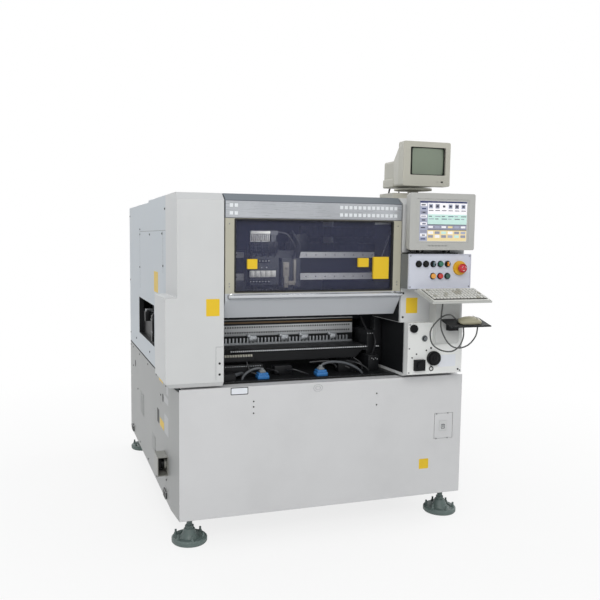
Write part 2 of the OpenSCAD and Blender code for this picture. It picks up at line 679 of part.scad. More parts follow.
// ---------- feeder bay ----------
module feeder_bank() color("#1f2022") {
    difference() {
        xprism(bk_l, bk_r, [[bank_y, bk_top - bank_t], [bank_y + bank_d, bk_top - bank_t], [bank_y + bank_d, bk_top + wall_h],
            [bank_y + bank_d - 20, bk_top + wall_h], [bank_y + bank_d - 20, bk_top], [bank_y, bk_top]]);
        // feeder grooves
        for (i = [0:slots - 1]) bx(bk_l + 12 + i*slot_pitch, bk_l + 16 + i*slot_pitch, bank_y - 1, bank_y + bank_d - 40, bk_top - 5, bk_top + 1);
        // chamfered right end
        yprism(bank_y - 1, bank_y + 60, [[bk_r + 1, bk_top - 20], [bk_r + 1, bk_top - bank_t - 1], [bk_r - 40, bk_top - bank_t - 1]]);
    }
    for (x = [bk_l + 20, bk_r - 110]) bx(x, x + 60, bank_y + 60, bank_y + bank_d, bed_z, bk_top - bank_t);
}
module feeder_comb() color("#b8b8b0") {
    yd = bank_y + bank_d - 20;
    // comb of teeth
    yprism(yd - 14, yd - 4, concat([[bk_l + 4, bk_top], [bk_l + 4, bk_top + 8]],
        [for (i = [0:slots - 1]) let (x = bk_l + 18 + i*slot_pitch) each [[x, bk_top + 8], [x, bk_top + tooth_h],
            [x + tooth_w, bk_top + tooth_h], [x + tooth_w, bk_top + 8]]], [[bk_r - 4, bk_top + 8], [bk_r - 4, bk_top]]));
    // perforated strips
    for (z = [bk_top + 40, bk_top + 82]) difference() {
        bx(bk_l, bk_r, yd - 4, yd, z, z + 32);
        for (i = [0:slots - 1]) bx(bk_l + 12 + i*slot_pitch, bk_l + 18 + i*slot_pitch, yd - 5, yd - 2, z + 22, z + 27);
    }
    bx(bk_l, bk_r, yd - 4, yd, bk_top, bk_top + 40);
}
module pneumatic_couplers() color("#3d86c6") {
    for (x = [-275, -5]) {
        bx(x - 26, x + 26, 72, 118, bed_z, bed_z + 30);
        zcyl(15, bed_z + 30, bed_z + 42, x, 95);
    }
    // air hoses arching back down to the bed
    for (h = [[70, 50], [-335, 40]]) translate([h[0], 95, bed_z]) rotate([90, 0, 0])
        rotate_extrude(angle = 180) translate([h[1], 0]) circle(r = 5);
}

// ---------- operator station ----------
module switch_box() color("#6d7076") difference() {
    bx(sb_l, sb_r, sb_y + pl_t, cf, sb_z, sb_top);
    for (x = bt_x) ycyl(button_shaft_r + 1, sb_y, cf - 10, x, row1_z);
    for (i = [2:4]) ycyl(button_shaft_r + 1, sb_y, cf - 10, bt_x[i], row2_z);
    ycyl(11, sb_y, cf - 10, es_x, es_z);
}
module bezel(x, z) difference() {
    ycyl(button_r + 3, sb_y - 4, sb_y + 1, x, z);
    ycyl(button_r + 0.4, sb_y - 5, sb_y, x, z);
}
module switch_panel() color("#c9cbe0") {
    difference() {
        union() {
            bx(sb_l, sb_r, sb_y, sb_y + pl_t, sb_z, sb_top);
            for (x = bt_x) bezel(x, row1_z);
            for (i = [2:4]) bezel(bt_x[i], row2_z);
        }
        for (i = [2:4]) {
            ycyl(button_shaft_r + pin_clear, sb_y - 1, sb_y + pl_t + 1, bt_x[i], row1_z);
            ycyl(button_shaft_r + pin_clear, sb_y - 1, sb_y + pl_t + 1, bt_x[i], row2_z);
        }
        ycyl(9 + pin_clear, sb_y - 1, sb_y + pl_t + 1, es_x, es_z);
    }
    // blank caps of the two unused places
    for (i = [0:1]) ycyl(button_r, sb_y - 8, sb_y, bt_x[i], row1_z);
}
module estop_collar() color("#e9b41c") difference() {
    ycyl(collar_r, sb_y - 5, sb_y, es_x, es_z);
    ycyl(11, sb_y - 6, sb_y + 1, es_x, es_z);
}
module push_cap(x, z, c) color(c) {
    ycyl(button_r, sb_y - 9, sb_y - button_stroke - 0.5, x, z);
    ycyl(button_shaft_r, sb_y - button_stroke - 0.5, cf - 22, x, z);
}
module turn_cap(x, z, c) color(c) {
    ycyl(button_r, sb_y - 7, sb_y - 0.3, x, z);
    ycyl(button_shaft_r, sb_y - 0.3, cf - 22, x, z);
    bx(x - 3.5, x + 3.5, sb_y - 16, sb_y - 7, z - button_r + 2, z + button_r - 2);
}
module key_selector() turn_cap(bt_x[2], row1_z, "#60747c");
module green_button() push_cap(bt_x[3], row1_z, "#0f6e5a");
module orange_selector() turn_cap(bt_x[4], row1_z, "#e08a1e");
module amber_button() push_cap(bt_x[2], row2_z, "#e6a030");
module red_button() push_cap(bt_x[3], row2_z, "#c8261c");
module dark_green_button() push_cap(bt_x[4], row2_z, "#0d5245");
module emergency_stop() color("#d2202c") {
    translate([es_x, sb_y, es_z]) rotate([90, 0, 0]) rotate_extrude() polygon([[0, 12], [9, 12], [estop_r - 3, 18],
        [estop_r, 22], [estop_r, 28], [estop_r - 5, 34], [0, 36]]);
    ycyl(9, sb_y - 12, cf - 26, es_x, es_z);
}
module tray_post() color("#d0d1cd") {
    xprism(post_x0, post_x1, [[cf, sb_z], [post_y, sb_z], [post_y, lp_z1 - 83], [post_y + 14, lp_z1 - 96],
        [lp_y, lp_z1 - 96], [lp_y, lp_z1], [cf, lp_z1]]);
    // tray hinge lugs and pin
    for (x = [post_x0 + 4, post_x1 - 22]) {
        xcyl(kb_kn_r, x, x + 18, kb_y, kb_z);
        bx(x, x + 18, kb_y, post_y, kb_z - kb_kn_r, kb_z + 2);
    }
    xcyl(kb_pin_r, post_x0 + 22, post_x1 - 22, kb_y, kb_z);
}
module lower_switch_plate() color("#d8d8d4") bx(lp_l, lp_r, lp_y, cf, lp_z0, lp_z1);
module panel_sockets() color("#17181a") {
    ycyl(17, lp_y - 12, lp_y, lp_l + 25, lp_z1 - 25);
    ycyl(10, lp_y - 8, lp_y, lp_l + 81, lp_z1 - 70);
    ycyl(31, lp_y - 16, lp_y, lp_l + 125, lp_z1 - 158);
    ycyl(25, lp_y - 22, lp_y - 16, lp_l + 125, lp_z1 - 158);
    bx(lp_l + 30, lp_l + 80, lp_y - 16, lp_y, lp_z0 + 18, lp_z0 + 66);
    ycyl(15, lp_y - 22, lp_y - 16, lp_l + 55, lp_z0 + 42);
}
module slope_frame(y, z, a) translate([0, y, z]) rotate([a, 0, 0]) children();
module keyboard_tray() color("#c6c6c2") slope_frame(kb_y, kb_z, kb_slope) {
    difference() {
        union() {
            bx(kb_x - kb_w/2, kb_x + kb_w/2, -kb_reach, -kb_kn_r - 2, 0, 3);
            for (x = [kb_x - kb_w/2, kb_x + kb_w/2 - 3]) bx(x, x + 3, -kb_reach, -kb_kn_r - 2, 3, tray_rim);
            bx(kb_x - kb_w/2 + 3, kb_x + kb_w/2 - 3, -kb_reach, -kb_reach + 3, 3, tray_rim);
            bx(post_x0 + 22.5, post_x1 - 22.5, -kb_kn_r - 2, 0, 0, 3);
            xcyl(kb_kn_r, post_x0 + 22.5, post_x1 - 22.5, 0, 0);
            bx(post_x0 + 22.5, post_x1 - 22.5, -60, -12, -10, 0);
        }
        xcyl(kb_pin_r + pin_clear, post_x0, post_x1, 0, 0);
    }
}
module keyboard() color("#d9d8cc") slope_frame(kb_y, kb_z, kb_slope) {
    xprism(kb_x - kb_w/2 + 5, kb_x + kb_w/2 - 5, [[-kb_reach + 6, 3], [-kb_reach + 6, 11], [-26, 18], [-20, 14], [-20, 3]]);
    // rows of keys
    for (r = [0:4], k = [0:15]) let (kw = (kb_w - 26)/16)
        translate([kb_x - kb_w/2 + 13 + k*kw, -kb_reach + 20 + r*21, 11.2 + r*1.2])
            rotate([3, 0, 0]) cube([kw - 2.5, 17, 5]);
}
module mouse_tray() color("#202124") {
    slope_frame(post_y, mt_z, mouse_slope) {
        bx(mt_x0, mt_x1, -mouse_tray_d, -2, -4, 0);
        bx(mt_x0 + 3, mt_x1 - 3, -mouse_tray_d, -mouse_tray_d + 3, 0, 3);
    }
    bx(mt_x0 + 31, mt_x0 + 77, post_y - 26, post_y, mt_z - 50, mt_z - 10);
    bx(mt_x0 + 31, mt_x0 + 77, post_y - 8, post_y, mt_z - 10, mt_z - 5);
}
module mouse() color("#bdb9a0") slope_frame(post_y, mt_z, mouse_slope) difference() {
    hull() {
        translate([mt_x0 + 85, -50, 0]) scale(1) sphere(r = 27, $fn = 24);
        translate([mt_x0 + 142, -50, -2]) sphere(r = 30, $fn = 24);
    }
    bx(mt_x0, mt_x1, -90, 0, -40, 0.2);
}
module keyboard_cord() color("#2b2b2b") tube(kb_cord_pts, cord_r);
module mouse_cord() color("#2b2b2b") tube(mouse_cord_pts, cord_r);

// ---------- screens ----------
module touch_panel_stand() color("#151515") {
    bx(sb_l, sb_l + 241, sb_y + 4, cf - 8, sb_top, sb_top + 6);
    for (x = [sb_l + 70, sb_l + 200]) {
        for (s = [-16, 5]) {
            xcyl(5, x + s, x + s + 11, lcd_pin_y, lcd_pin_z);
            bx(x + s, x + s + 11, lcd_pin_y - 5, lcd_pin_y + 5, sb_top + 6, lcd_pin_z);
        }
        xcyl(3, x - 5, x + 5, lcd_pin_y, lcd_pin_z);
    }
}
module touch_panel_housing() color("#b9b8b0") {
    difference() {
        union() {
            translate([lcd_x, lcd_y + 24, lcd_z + lcd_h/2]) rotate([90, 0, 0]) linear_extrude(24) polygon(rr(lcd_w, lcd_h, 8));
            translate([lcd_x, lcd_y + 44, lcd_z + lcd_h/2]) rotate([90, 0, 0]) linear_extrude(20) polygon(rr(lcd_w - 12, lcd_h - 10, 10));
            translate([lcd_x, lcd_y + lcd_d, lcd_z + lcd_h/2]) rotate([90, 0, 0]) linear_extrude(lcd_d - 44) polygon(rr(lcd_w - 70, lcd_h - 60, 12));
        }
        translate([lcd_x, lcd_y + 7, lcd_z + lcd_h/2 + 4]) rotate([90, 0, 0]) linear_extrude(8) polygon(rr(lcd_w - 60, lcd_h - 58, 4));
    }
    for (x = [sb_l + 70, sb_l + 200]) difference() {
        union() {
            xcyl(5, x - 4.7, x + 4.7, lcd_pin_y, lcd_pin_z);
            bx(x - 4.7, x + 4.7, lcd_pin_y - 5, lcd_pin_y + 5, lcd_pin_z, lcd_z + 8);
        }
        xcyl(3 + pin_clear, x - 6, x + 6, lcd_pin_y, lcd_pin_z);
    }
}
module touch_panel_screen() color("#cfe3ea")
    translate([lcd_x, lcd_y + 7, lcd_z + lcd_h/2 + 4]) rotate([90, 0, 0]) linear_extrude(3) polygon(rr(lcd_w - 60, lcd_h - 58, 4));
module camera_monitor_stand() color("#c7c5b8") {
    bx(crt_x - 132, crt_x + 110, crt_y + 60, crt_y + 190, top_z, top_z + 28);
    zcyl(24, top_z + 28, top_z + 44, crt_x, crt_pin_y);
    zcyl(85, top_z + 44, top_z + 52, crt_x, crt_pin_y);
    zcyl(10, top_z + 52, top_z + 64, crt_x, crt_pin_y);
}
module mon_slab(y, t, w, h, za, r) translate([crt_x, y + t, za + h/2]) rotate([90, 0, 0]) linear_extrude(t) polygon(rr(w, h, r));
module camera_monitor_housing() color("#c7c5b8") difference() {
    union() {
        mon_slab(crt_y, 45, crt_w, crt_h, crt_z, 8);
        hull() {
            mon_slab(crt_y + 45, 1, crt_w - 10, crt_h - 10, crt_z + 3, 8);
            mon_slab(crt_y + 164, 1, crt_w*0.66, crt_h*0.66, crt_z + 5, 10);
        }
        mon_slab(crt_y + 164, crt_d - 164, crt_w*0.6, crt_h*0.62, crt_z + 6, 10);
        mon_slab(crt_y + 164, crt_d - 170, crt_w*0.68, 40, crt_z + 4, 6);
    }
    translate([crt_x + 6, crt_y + 16, crt_z + crt_h/2 + 12]) rotate([90, 0, 0]) linear_extrude(17) polygon(rr(crt_w - 58, crt_h - 72, 5));
    zcyl(10 + pin_clear, crt_z - 1, top_z + 67, crt_x, crt_pin_y);
}
module camera_monitor_screen() color("#6d7f80") intersection() {
    translate([crt_x + 6, crt_y + 16, crt_z + crt_h/2 + 12]) rotate([90, 0, 0]) linear_extrude(14) polygon(rr(crt_w - 58, crt_h - 72, 5));
    translate([crt_x + 6, crt_y + 8 + 420, crt_z]) cylinder(h = crt_h, r = 420, $fn = 480);
}

// ---------- main switch and hatch ----------
module main_switch_guard() color("#c9c9c4") {
    difference() {
        bx(-so - guard_out, -so, ms_y - 50, ms_y + 50, ms_z - 42, ms_z + 42);
        bx(-so - guard_out + 3, -so - 4, ms_y - 51, ms_y + 47, ms_z - 39, ms_z + 39);
    }
    xcyl(24, -so - 12, -so - 4, ms_y, ms_z);
    xcyl(5, -so - 26, -so - 12, ms_y, ms_z);
}
module main_switch_knob() color("#141414") difference() {
    union() {
        xcyl(21, -so - 24, -so - 12.3, ms_y, ms_z);
        bx(-so - guard_out + 8, -so - 24, ms_y - 6, ms_y + 6, ms_z - 20, ms_z + 20);
    }
    xcyl(5 + pin_clear, -so - 27, -so - 12, ms_y, ms_z);
}
module hatch_door() color("#d6d6d2") {
    bx(ht_x0, ht_x1, 0.5, skin, ht_z0, ht_z1);
    for (z = [ht_z0, ht_z1 - 8]) bx(ht_pin_x - 5, ht_pin_x + 5, skin, skin + 8, z, z + 8);
    zcyl(2, ht_z0 - 8, ht_z0, ht_pin_x, ht_pin_y);
    zcyl(2, ht_z1, ht_z1 + 8, ht_pin_x, ht_pin_y);
    bx(ht_x0 + 24, ht_x0 + 62, -1.5, 0.5, ht_z0 + 36, ht_z0 + 78);
}

// ---------- assembly ----------
placed() base_frame();
placed() levelling_feet();
placed() machine_bed();
placed() front_lower_panel();
placed() left_lower_panel();
placed() right_lower_panel();
placed() rear_panels();
placed() left_front_cover();
placed() right_front_cover();
placed() left_side_cover();
placed() right_side_cover();
placed() roof_panel();
placed() hood_hinge_pins();
placed() gantry_frame();
placed() feeder_bank();
placed() feeder_comb();
placed() conveyor_fixed_rail();
placed() pneumatic_couplers();
placed() switch_box();
placed() switch_panel();
placed() estop_collar();
placed() tray_post();
placed() lower_switch_plate();
placed() panel_sockets();
placed() touch_panel_stand();
placed() camera_monitor_stand();
placed() main_switch_guard();
placed() mouse_tray();
placed() mouse();
placed() keyboard_cord();
placed() mouse_cord();
placed() hood_top();
placed() hood_frame();
placed() hood_window();
placed() hood_handle();
placed() rear_hood_frame();
placed() rear_hood_window();
placed() moving_beam();
placed() placement_head();
placed() nozzle_1();
placed() nozzle_2();
placed() nozzle_3();
placed() nozzle_4();
placed() conveyor_moving_rail();
placed() backup_table();
placed() touch_panel_housing();
placed() touch_panel_screen();
placed() camera_monitor_housing();
placed() camera_monitor_screen();
placed() keyboard_tray();
placed() keyboard();
placed() key_selector();
placed() green_button();
placed() orange_selector();
placed() amber_button();
placed() red_button();
placed() dark_green_button();
placed() emergency_stop();
placed() main_switch_knob();
placed() hatch_door();
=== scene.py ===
import bpy
import bmesh
import math
from mathutils import Matrix, Vector


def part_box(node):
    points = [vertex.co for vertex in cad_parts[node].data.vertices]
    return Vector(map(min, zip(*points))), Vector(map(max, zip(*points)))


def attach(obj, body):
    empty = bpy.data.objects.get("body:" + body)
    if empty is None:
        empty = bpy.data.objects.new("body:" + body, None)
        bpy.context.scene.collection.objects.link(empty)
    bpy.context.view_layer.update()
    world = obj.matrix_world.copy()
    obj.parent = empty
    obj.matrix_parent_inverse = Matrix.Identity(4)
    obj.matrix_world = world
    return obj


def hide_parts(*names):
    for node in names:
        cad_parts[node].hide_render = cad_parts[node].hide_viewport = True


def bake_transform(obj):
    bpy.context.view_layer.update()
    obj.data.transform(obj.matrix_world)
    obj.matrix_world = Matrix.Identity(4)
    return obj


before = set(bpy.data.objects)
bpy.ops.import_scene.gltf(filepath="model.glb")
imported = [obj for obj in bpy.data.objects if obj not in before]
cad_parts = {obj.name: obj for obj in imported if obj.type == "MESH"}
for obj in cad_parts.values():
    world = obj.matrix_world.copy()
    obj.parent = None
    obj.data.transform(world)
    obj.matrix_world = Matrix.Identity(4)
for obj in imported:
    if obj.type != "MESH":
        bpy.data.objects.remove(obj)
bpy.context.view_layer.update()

panelLow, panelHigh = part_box("front_lower_panel")
midX = (panelLow[0] + panelHigh[0]) / 2   # the machine's own middle, between its lower side panels
faceY = panelLow[1]                       # face of the front lower panel


def at(x, y, z):
    # millimetres from the middle, the front face and the floor
    return Vector((midX + x / 1000, faceY + y / 1000, z / 1000))


def span(node):
    low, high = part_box(node)   # a node's box in the same millimetres
    return [((low[0] - midX) * 1000, (high[0] - midX) * 1000), ((low[1] - faceY) * 1000, (high[1] - faceY) * 1000),
        (low[2] * 1000, high[2] * 1000)]


print("frame loaded")

# camera, seen from the front left at shoulder height
cameraSettings = {"place": (-1168.7, -2769.3, 1273.9), "turn": 17.7, "tip": 5.3, "roll": 0.5, "lens": 42.414,
    "shift": (0.0543, 0.0062)}


def newObject(name, data):
    made = bpy.data.objects.new(name, data)
    bpy.context.scene.collection.objects.link(made)
    return made


def makeCamera(s):
    turn, tip, roll = (math.radians(s[k]) for k in ("turn", "tip", "roll"))
    ahead = Vector((math.sin(turn) * math.cos(tip), math.cos(turn) * math.cos(tip), -math.sin(tip)))
    side = Vector((math.cos(turn), -math.sin(turn), 0))
    above = side.cross(ahead)
    right = side * math.cos(roll) + above * math.sin(roll)
    up = above * math.cos(roll) - side * math.sin(roll)
    data = bpy.data.cameras.new("camera")
    data.lens = s["lens"]
    data.sensor_width = 36
    data.shift_x, data.shift_y = s["shift"]
    data.clip_end = 60
    camera = newObject("camera", data)
    turnMatrix = Matrix((right, up, -ahead)).transposed().to_4x4()
    camera.matrix_world = Matrix.Translation(at(*s["place"])) @ turnMatrix
    bpy.context.scene.camera = camera


makeCamera(cameraSettings)
bpy.context.scene.view_settings.view_transform = "Standard"

# material building


def fill(tree, made, inputs):
    # an input is linked where its value is a socket, and set where it is a number, a colour or a material
    for key, value in inputs.items():
        if isinstance(value, bpy.types.NodeSocket):
            tree.links.new(value, made.inputs[key])
        else:
            made.inputs[key].default_value = value
    return made


def node(tree, kind, inputs=None, **settings):
    made = tree.nodes.new(kind)
    for key, value in settings.items():
        setattr(made, key, value)
    return fill(tree, made, inputs or {})


def times(tree, a, b, operation="MULTIPLY"):
    return node(tree, "ShaderNodeMath", {0: a, 1: b}, operation=operation).outputs["Value"]


def mixed(tree, factor, base, colour):
    return node(tree, "ShaderNodeMix", {"Factor": factor, "A": base, "B": (*colour, 1)},
        data_type="RGBA").outputs["Result"]


def newMaterial(name):
    mat = bpy.data.materials.new(name)
    mat.use_nodes = True
    tree = mat.node_tree
    tree.nodes.clear()
    shader = node(tree, "ShaderNodeBsdfPrincipled")
    node(tree, "ShaderNodeOutputMaterial", {"Surface": shader.outputs["BSDF"]})
    return mat, tree, shader


def noiseFrom(tree, scale, detail=3.0, stretch=None):
    place = node(tree, "ShaderNodeTexCoord").outputs["Object"]
    if stretch:
        place = node(tree, "ShaderNodeMapping", {"Vector": place, "Scale": stretch}).outputs["Vector"]
    return node(tree, "ShaderNodeTexNoise", {"Vector": place, "Scale": scale, "Detail": detail}).outputs["Fac"]


def glossFrom(tree, source, low, high):
    return node(tree, "ShaderNodeMapRange", {"Value": source, "To Min": low, "To Max": high}).outputs["Result"]


def rampOf(tree, source, stops):
    # colours along a value, each stop a place and a colour
    ramp = node(tree, "ShaderNodeValToRGB", {"Fac": source})
    marks = ramp.color_ramp.elements
    for mark, (place, colour) in zip((marks[0], marks[1]), (stops[0], stops[-1])):
        mark.position, mark.color = place, (*colour, 1)
    for place, colour in stops[1:-1]:
        marks.new(place).color = (*colour, 1)
    return ramp.outputs["Color"]


def shade(colour, by):
    return tuple(max(0.0, min(1.0, c * by)) for c in colour)


def linear(code):
    parts = [int(code[i:i + 2], 16) / 255 for i in (1, 3, 5)]
    return tuple(p / 12.92 if p <= 0.04045 else ((p + 0.055) / 1.055) ** 2.4 for p in parts)


def wornTone(tree, tone, rounded, wear):
    # a second colour in patches along the sharp edges
    plain = node(tree, "ShaderNodeNewGeometry").outputs["Normal"]
    along = node(tree, "ShaderNodeVectorMath", {0: rounded, 1: plain}, operation="DOT_PRODUCT").outputs["Value"]
    edges = rampOf(tree, along, [(0.80, (1, 1, 1)), (0.97, (0, 0, 0))])
    patches = rampOf(tree, noiseFrom(tree, 160, 5.0), [(0.45, (0, 0, 0)), (0.6, (1, 1, 1))])
    return mixed(tree, times(tree, edges, patches), tone, linear(wear))


grainHeight, coatRough = 0.0002, 0.12   # of every finish


def finishOf(name, code, rough=0.45, metal=0.0, grain=700, depth=0.04, drift=0.05, roughDrift=0.1, wear=None,
        edge=0.0015, coat=0.0, stretch=None, blotch=5.0, spec=None, glow=None):
    # fine grain, slow changes of tone and gloss, rounded edges, and worn edges where wear is a colour
    colour = linear(code)
    mat, tree, shader = newMaterial(name)
    slow, fine = noiseFrom(tree, blotch, 4.0), noiseFrom(tree, grain, 2.0, stretch)
    tone = rampOf(tree, slow, [(0.32, shade(colour, 1 - drift)), (0.5, colour),
        (0.7, shade(colour, 1 + drift * 0.6))])
    gloss = glossFrom(tree, fine if stretch else slow, max(0.02, rough - roughDrift), min(1.0, rough + roughDrift))
    bump = node(tree, "ShaderNodeBump", {"Strength": depth * 10, "Distance": grainHeight, "Height": fine})
    if edge:
        rounded = node(tree, "ShaderNodeBevel", {"Radius": edge}, samples=4).outputs["Normal"]
        fill(tree, bump, {"Normal": rounded})
        if wear:
            tone = wornTone(tree, tone, rounded, wear)
    fill(tree, shader, {"Base Color": tone, "Roughness": gloss, "Normal": bump.outputs["Normal"],
        "Metallic": metal, "Coat Weight": coat})
    if coat:
        fill(tree, shader, {"Coat Roughness": coatRough})
    if spec is not None:
        fill(tree, shader, {"Specular IOR Level": spec})
    if glow:
        fill(tree, shader, {"Emission Color": tone, "Emission Strength": glow})
    return mat


looks = {
    "coverPaint": dict(code="#d2d3d3", rough=0.42, depth=0.05, drift=0.025, wear="#b9b9b4"),
    # written darker than coverPaint: partly the cover's own grey, partly painted shade of the sides, which stand
    # out of the light
    "sidePaint": dict(code="#c3cad0", rough=0.42, depth=0.05, drift=0.03, wear="#b4b7ba"),
    "cabinetPaint": dict(code="#d6d6d7", depth=0.05, drift=0.035, wear="#b0b0ac"),
    # written darker than cabinetPaint: partly the panel's own grey, partly painted shade of the sides, which stand
    # out of the light
    "sideCabinetPaint": dict(code="#a4a5a4", depth=0.05, drift=0.04, wear="#a8aaa8"),
    "frameGrey": dict(code="#74797c", rough=0.5, depth=0.05, drift=0.06, wear="#c0c2c3"),
    "blackPaint": dict(code="#18191b", spec=0.2, depth=0.05, drift=0.12, wear="#8b8d90"),
    "bedPlate": dict(code="#161719", rough=0.42, spec=0.25, depth=0.05, drift=0.15, wear="#96989c", grain=300),
    "gantryPaint": dict(code="#131416", spec=0.25, rough=0.42, depth=0.05, drift=0.1, wear="#8f9296"),
    # its light edge colour is partly wear and partly a painted highlight along the edges
    "castFoot": dict(code="#62706d", depth=0.25, drift=0.2, wear="#aab4b0", grain=260, edge=0.002),
    "beamAlloy": dict(code="#2c2e31", rough=0.4, metal=0.3, drift=0.07, wear="#9da1a4", stretch=(0.05, 1, 1)),
    "railAlloy": dict(code="#b3b7bb", rough=0.34, metal=0.75, depth=0.05, wear="#dfe1e3", stretch=(0.03, 1, 1)),
    "groundSteel": dict(code="#c3c6ca", rough=0.25, metal=1.0, stretch=(1, 1, 0.05)),
    "screwSteel": dict(code="#a9abad", rough=0.3, metal=1.0, depth=0.02, drift=0.08, edge=0),
    "screwRecess": dict(code="#141515", rough=0.8, spec=0.05, depth=0.02, drift=0.1, edge=0),
    "hoodSlate": dict(code="#737b82", rough=0.4, depth=0.05, drift=0.04, wear="#9aa5af"),
    # large slow changes of tone: partly the band's own uneven finish, partly painted reflection standing in for its
    # mirrored light
    "silverBand": dict(code="#bcbfc4", rough=0.3, metal=0.4, depth=0.03, drift=0.26, stretch=(0.02, 1, 1),
    edge=0.0008, blotch=1.9),
    "hoodCream": dict(code="#b9b6a5", rough=0.42, depth=0.05, drift=0.04, wear="#a9a896"),
    "apronGrey": dict(code="#bfc2c7", rough=0.42, depth=0.05, drift=0.04),
    "handleChrome": dict(code="#c4c7cb", rough=0.18, metal=1.0, depth=0.01, drift=0.02, roughDrift=0.05, edge=0),
    "hoseBlue": dict(code="#2f74b5", rough=0.35, depth=0.03, drift=0.06),
    "boxGrey": dict(code="#737678", depth=0.05, drift=0.06, wear="#8d9097"),
    "lavenderPlate": dict(code="#d6d9e4", rough=0.38, drift=0.03, wear="#9fa2b8"),
    "collarYellow": dict(code="#e6b41e", rough=0.38, depth=0.03, coat=0.2),
    "barePlateYellow": dict(code="#e9c21f", depth=0.02, edge=0),
    "barePlateGrey": dict(code="#bcbdbe", depth=0.02, drift=0.03, edge=0),
    "stripPale": dict(code="#d6d8da", metal=0.1, drift=0.12, stretch=(0.03, 1, 1)),
    "armGrey": dict(code="#9a968c", depth=0.05, drift=0.1, wear="#98989a"),
    "barePlateWhite": dict(code="#e9ecf2", depth=0.02, drift=0.03, edge=0),
    "blackPlastic": dict(code="#131416", spec=0.15, rough=0.42, depth=0.06, drift=0.12, grain=1500),
    "rubberBlack": dict(code="#1b1b1c", rough=0.75, depth=0.08, drift=0.12, grain=900, edge=0),
    "monitorBeige": dict(code="#c0beb2", rough=0.5, depth=0.12, drift=0.04, grain=1500),
    "panelGrey": dict(code="#bcbcb8", rough=0.5, depth=0.12, drift=0.04, grain=1500),
    "keyPlastic": dict(code="#d8d8d2", rough=0.5, depth=0.1, grain=1500, edge=0.0006),
    "keyDark": dict(code="#b4b2a6", rough=0.5, depth=0.1, grain=1500, edge=0.0006),
    "mousePlastic": dict(code="#b7b298", rough=0.48, depth=0.1, grain=1500, edge=0),
    "trayMetal": dict(code="#c3c4c0", rough=0.4, drift=0.04, wear="#8d8e8b"),
    "headGrey": dict(code="#4a4d52", rough=0.42, depth=0.05, drift=0.09, wear="#999b9f"),
    "capBlack": dict(code="#0c0d0e", rough=0.4, depth=0.03, drift=0.1, spec=0.25),
    "capSlate": dict(code="#4f646c", rough=0.35, depth=0.03, drift=0.06, coat=0.2),
    "capGreen": dict(code="#0f6b54", rough=0.28, depth=0.02, drift=0.06, coat=0.5),
    "capDarkGreen": dict(code="#0c4a3d", rough=0.28, depth=0.02, drift=0.06, coat=0.5),
    "capOrange": dict(code="#e08820", rough=0.28, depth=0.02, drift=0.06, coat=0.5),
    "capAmber": dict(code="#eda63a", rough=0.28, depth=0.02, drift=0.06, coat=0.5),
    "capRed": dict(code="#c6281d", rough=0.26, depth=0.02, drift=0.06, coat=0.5),
    "stopRed": dict(code="#cf1f2b", rough=0.26, depth=0.02, coat=0.6),
    "ringChrome": dict(code="#b9bbbf", rough=0.22, metal=1.0, depth=0.01, drift=0.03, edge=0),
    "printWhite": dict(code="#e8ebee", rough=0.5, depth=0.02, drift=0.02, edge=0),
    "printNavy": dict(code="#26305c", rough=0.3, depth=0.01, drift=0.06, edge=0, glow=0.25),
    "printLavender": dict(code="#9ea2b4", rough=0.3, depth=0.01, drift=0.06, edge=0, glow=0.3),
    "printPink": dict(code="#e8e6ea", rough=0.3, depth=0.01, edge=0, glow=0.35),
    "printMint": dict(code="#b9d6cf", rough=0.3, depth=0.01, edge=0, glow=0.35),
    "printTan": dict(code="#dcc998", rough=0.3, depth=0.01, edge=0, glow=0.35),
    "printGrey": dict(code="#8d8fa0", rough=0.3, depth=0.01, drift=0.06, edge=0, glow=0.25),
    # glows: on the screen the print is lit from behind, but on the hood band edges, the housing seam and the mouse
    # key lines this is a painted glow, as they are no lamp
    "printDark": dict(code="#3a3b4a", rough=0.3, depth=0.01, drift=0.06, edge=0, glow=0.1),
    "tubeGlass": dict(code="#75806f", rough=0.22, depth=0.005, drift=0.1, roughDrift=0.05, coat=0.5, edge=0,
    blotch=6.0, glow=0.06),
    "postPaint": dict(code="#cfd0ce", depth=0.05, wear="#b0b2b1"),
    "smokedGuard": dict(code="#85857f", rough=0.3, depth=0.03, wear="#a9a9a4"),
    # glows a little, a painted glow, though the strips are no lamp
    "brightStrip": dict(code="#f4f5f6", rough=0.5, depth=0.03, drift=0.12, stretch=(0.03, 1, 1), glow=0.05),
    # glows a little, a painted glow, though the head's parts are no lamp
    "headWhite": dict(code="#e9e9e4", rough=0.5, drift=0.03, glow=0.08),
    "hoseGrey": dict(code="#53565a", rough=0.5, depth=0.05, drift=0.08, edge=0),
    "brownEdge": dict(code="#6b5333", rough=0.5, drift=0.1),
    # written lighter than the cabinet paint: painted light that makes up for the shadow the trays cast on the plate
    "switchPlatePaint": dict(code="#eeefed", rough=0.42, depth=0.05, wear="#a3a4a0"),
    "keyDeck": dict(code="#403e38", rough=0.55, depth=0.1, drift=0.06, grain=1500, edge=0),
    "cordGrey": dict(code="#4a4c4b", depth=0.05, drift=0.1, edge=0),
    "blackOxide": dict(code="#26272a", rough=0.4, depth=0.02, drift=0.1, spec=0.3, edge=0),
    "anodisedBlack": dict(code="#232528", rough=0.4, drift=0.08, spec=0.3, wear="#7d8085", stretch=(0.03, 1, 1)),
    "wireBlack": dict(code="#202124", rough=0.5, depth=0.05, drift=0.1, edge=0),
    "wireGrey": dict(code="#8f9399", rough=0.5, depth=0.05, drift=0.1, edge=0),
    "ribAlloy": dict(code="#8a8e92", rough=0.4, metal=0.7, depth=0.05, drift=0.06),
    "beltDark": dict(code="#2a2a2c", rough=0.7, depth=0.1, drift=0.1, grain=1200, edge=0),
    "brassYellow": dict(code="#c9a85a", rough=0.3, metal=1.0, depth=0.02, drift=0.06, edge=0),
}
materials = {name: finishOf(name, **settings) for name, settings in looks.items()}


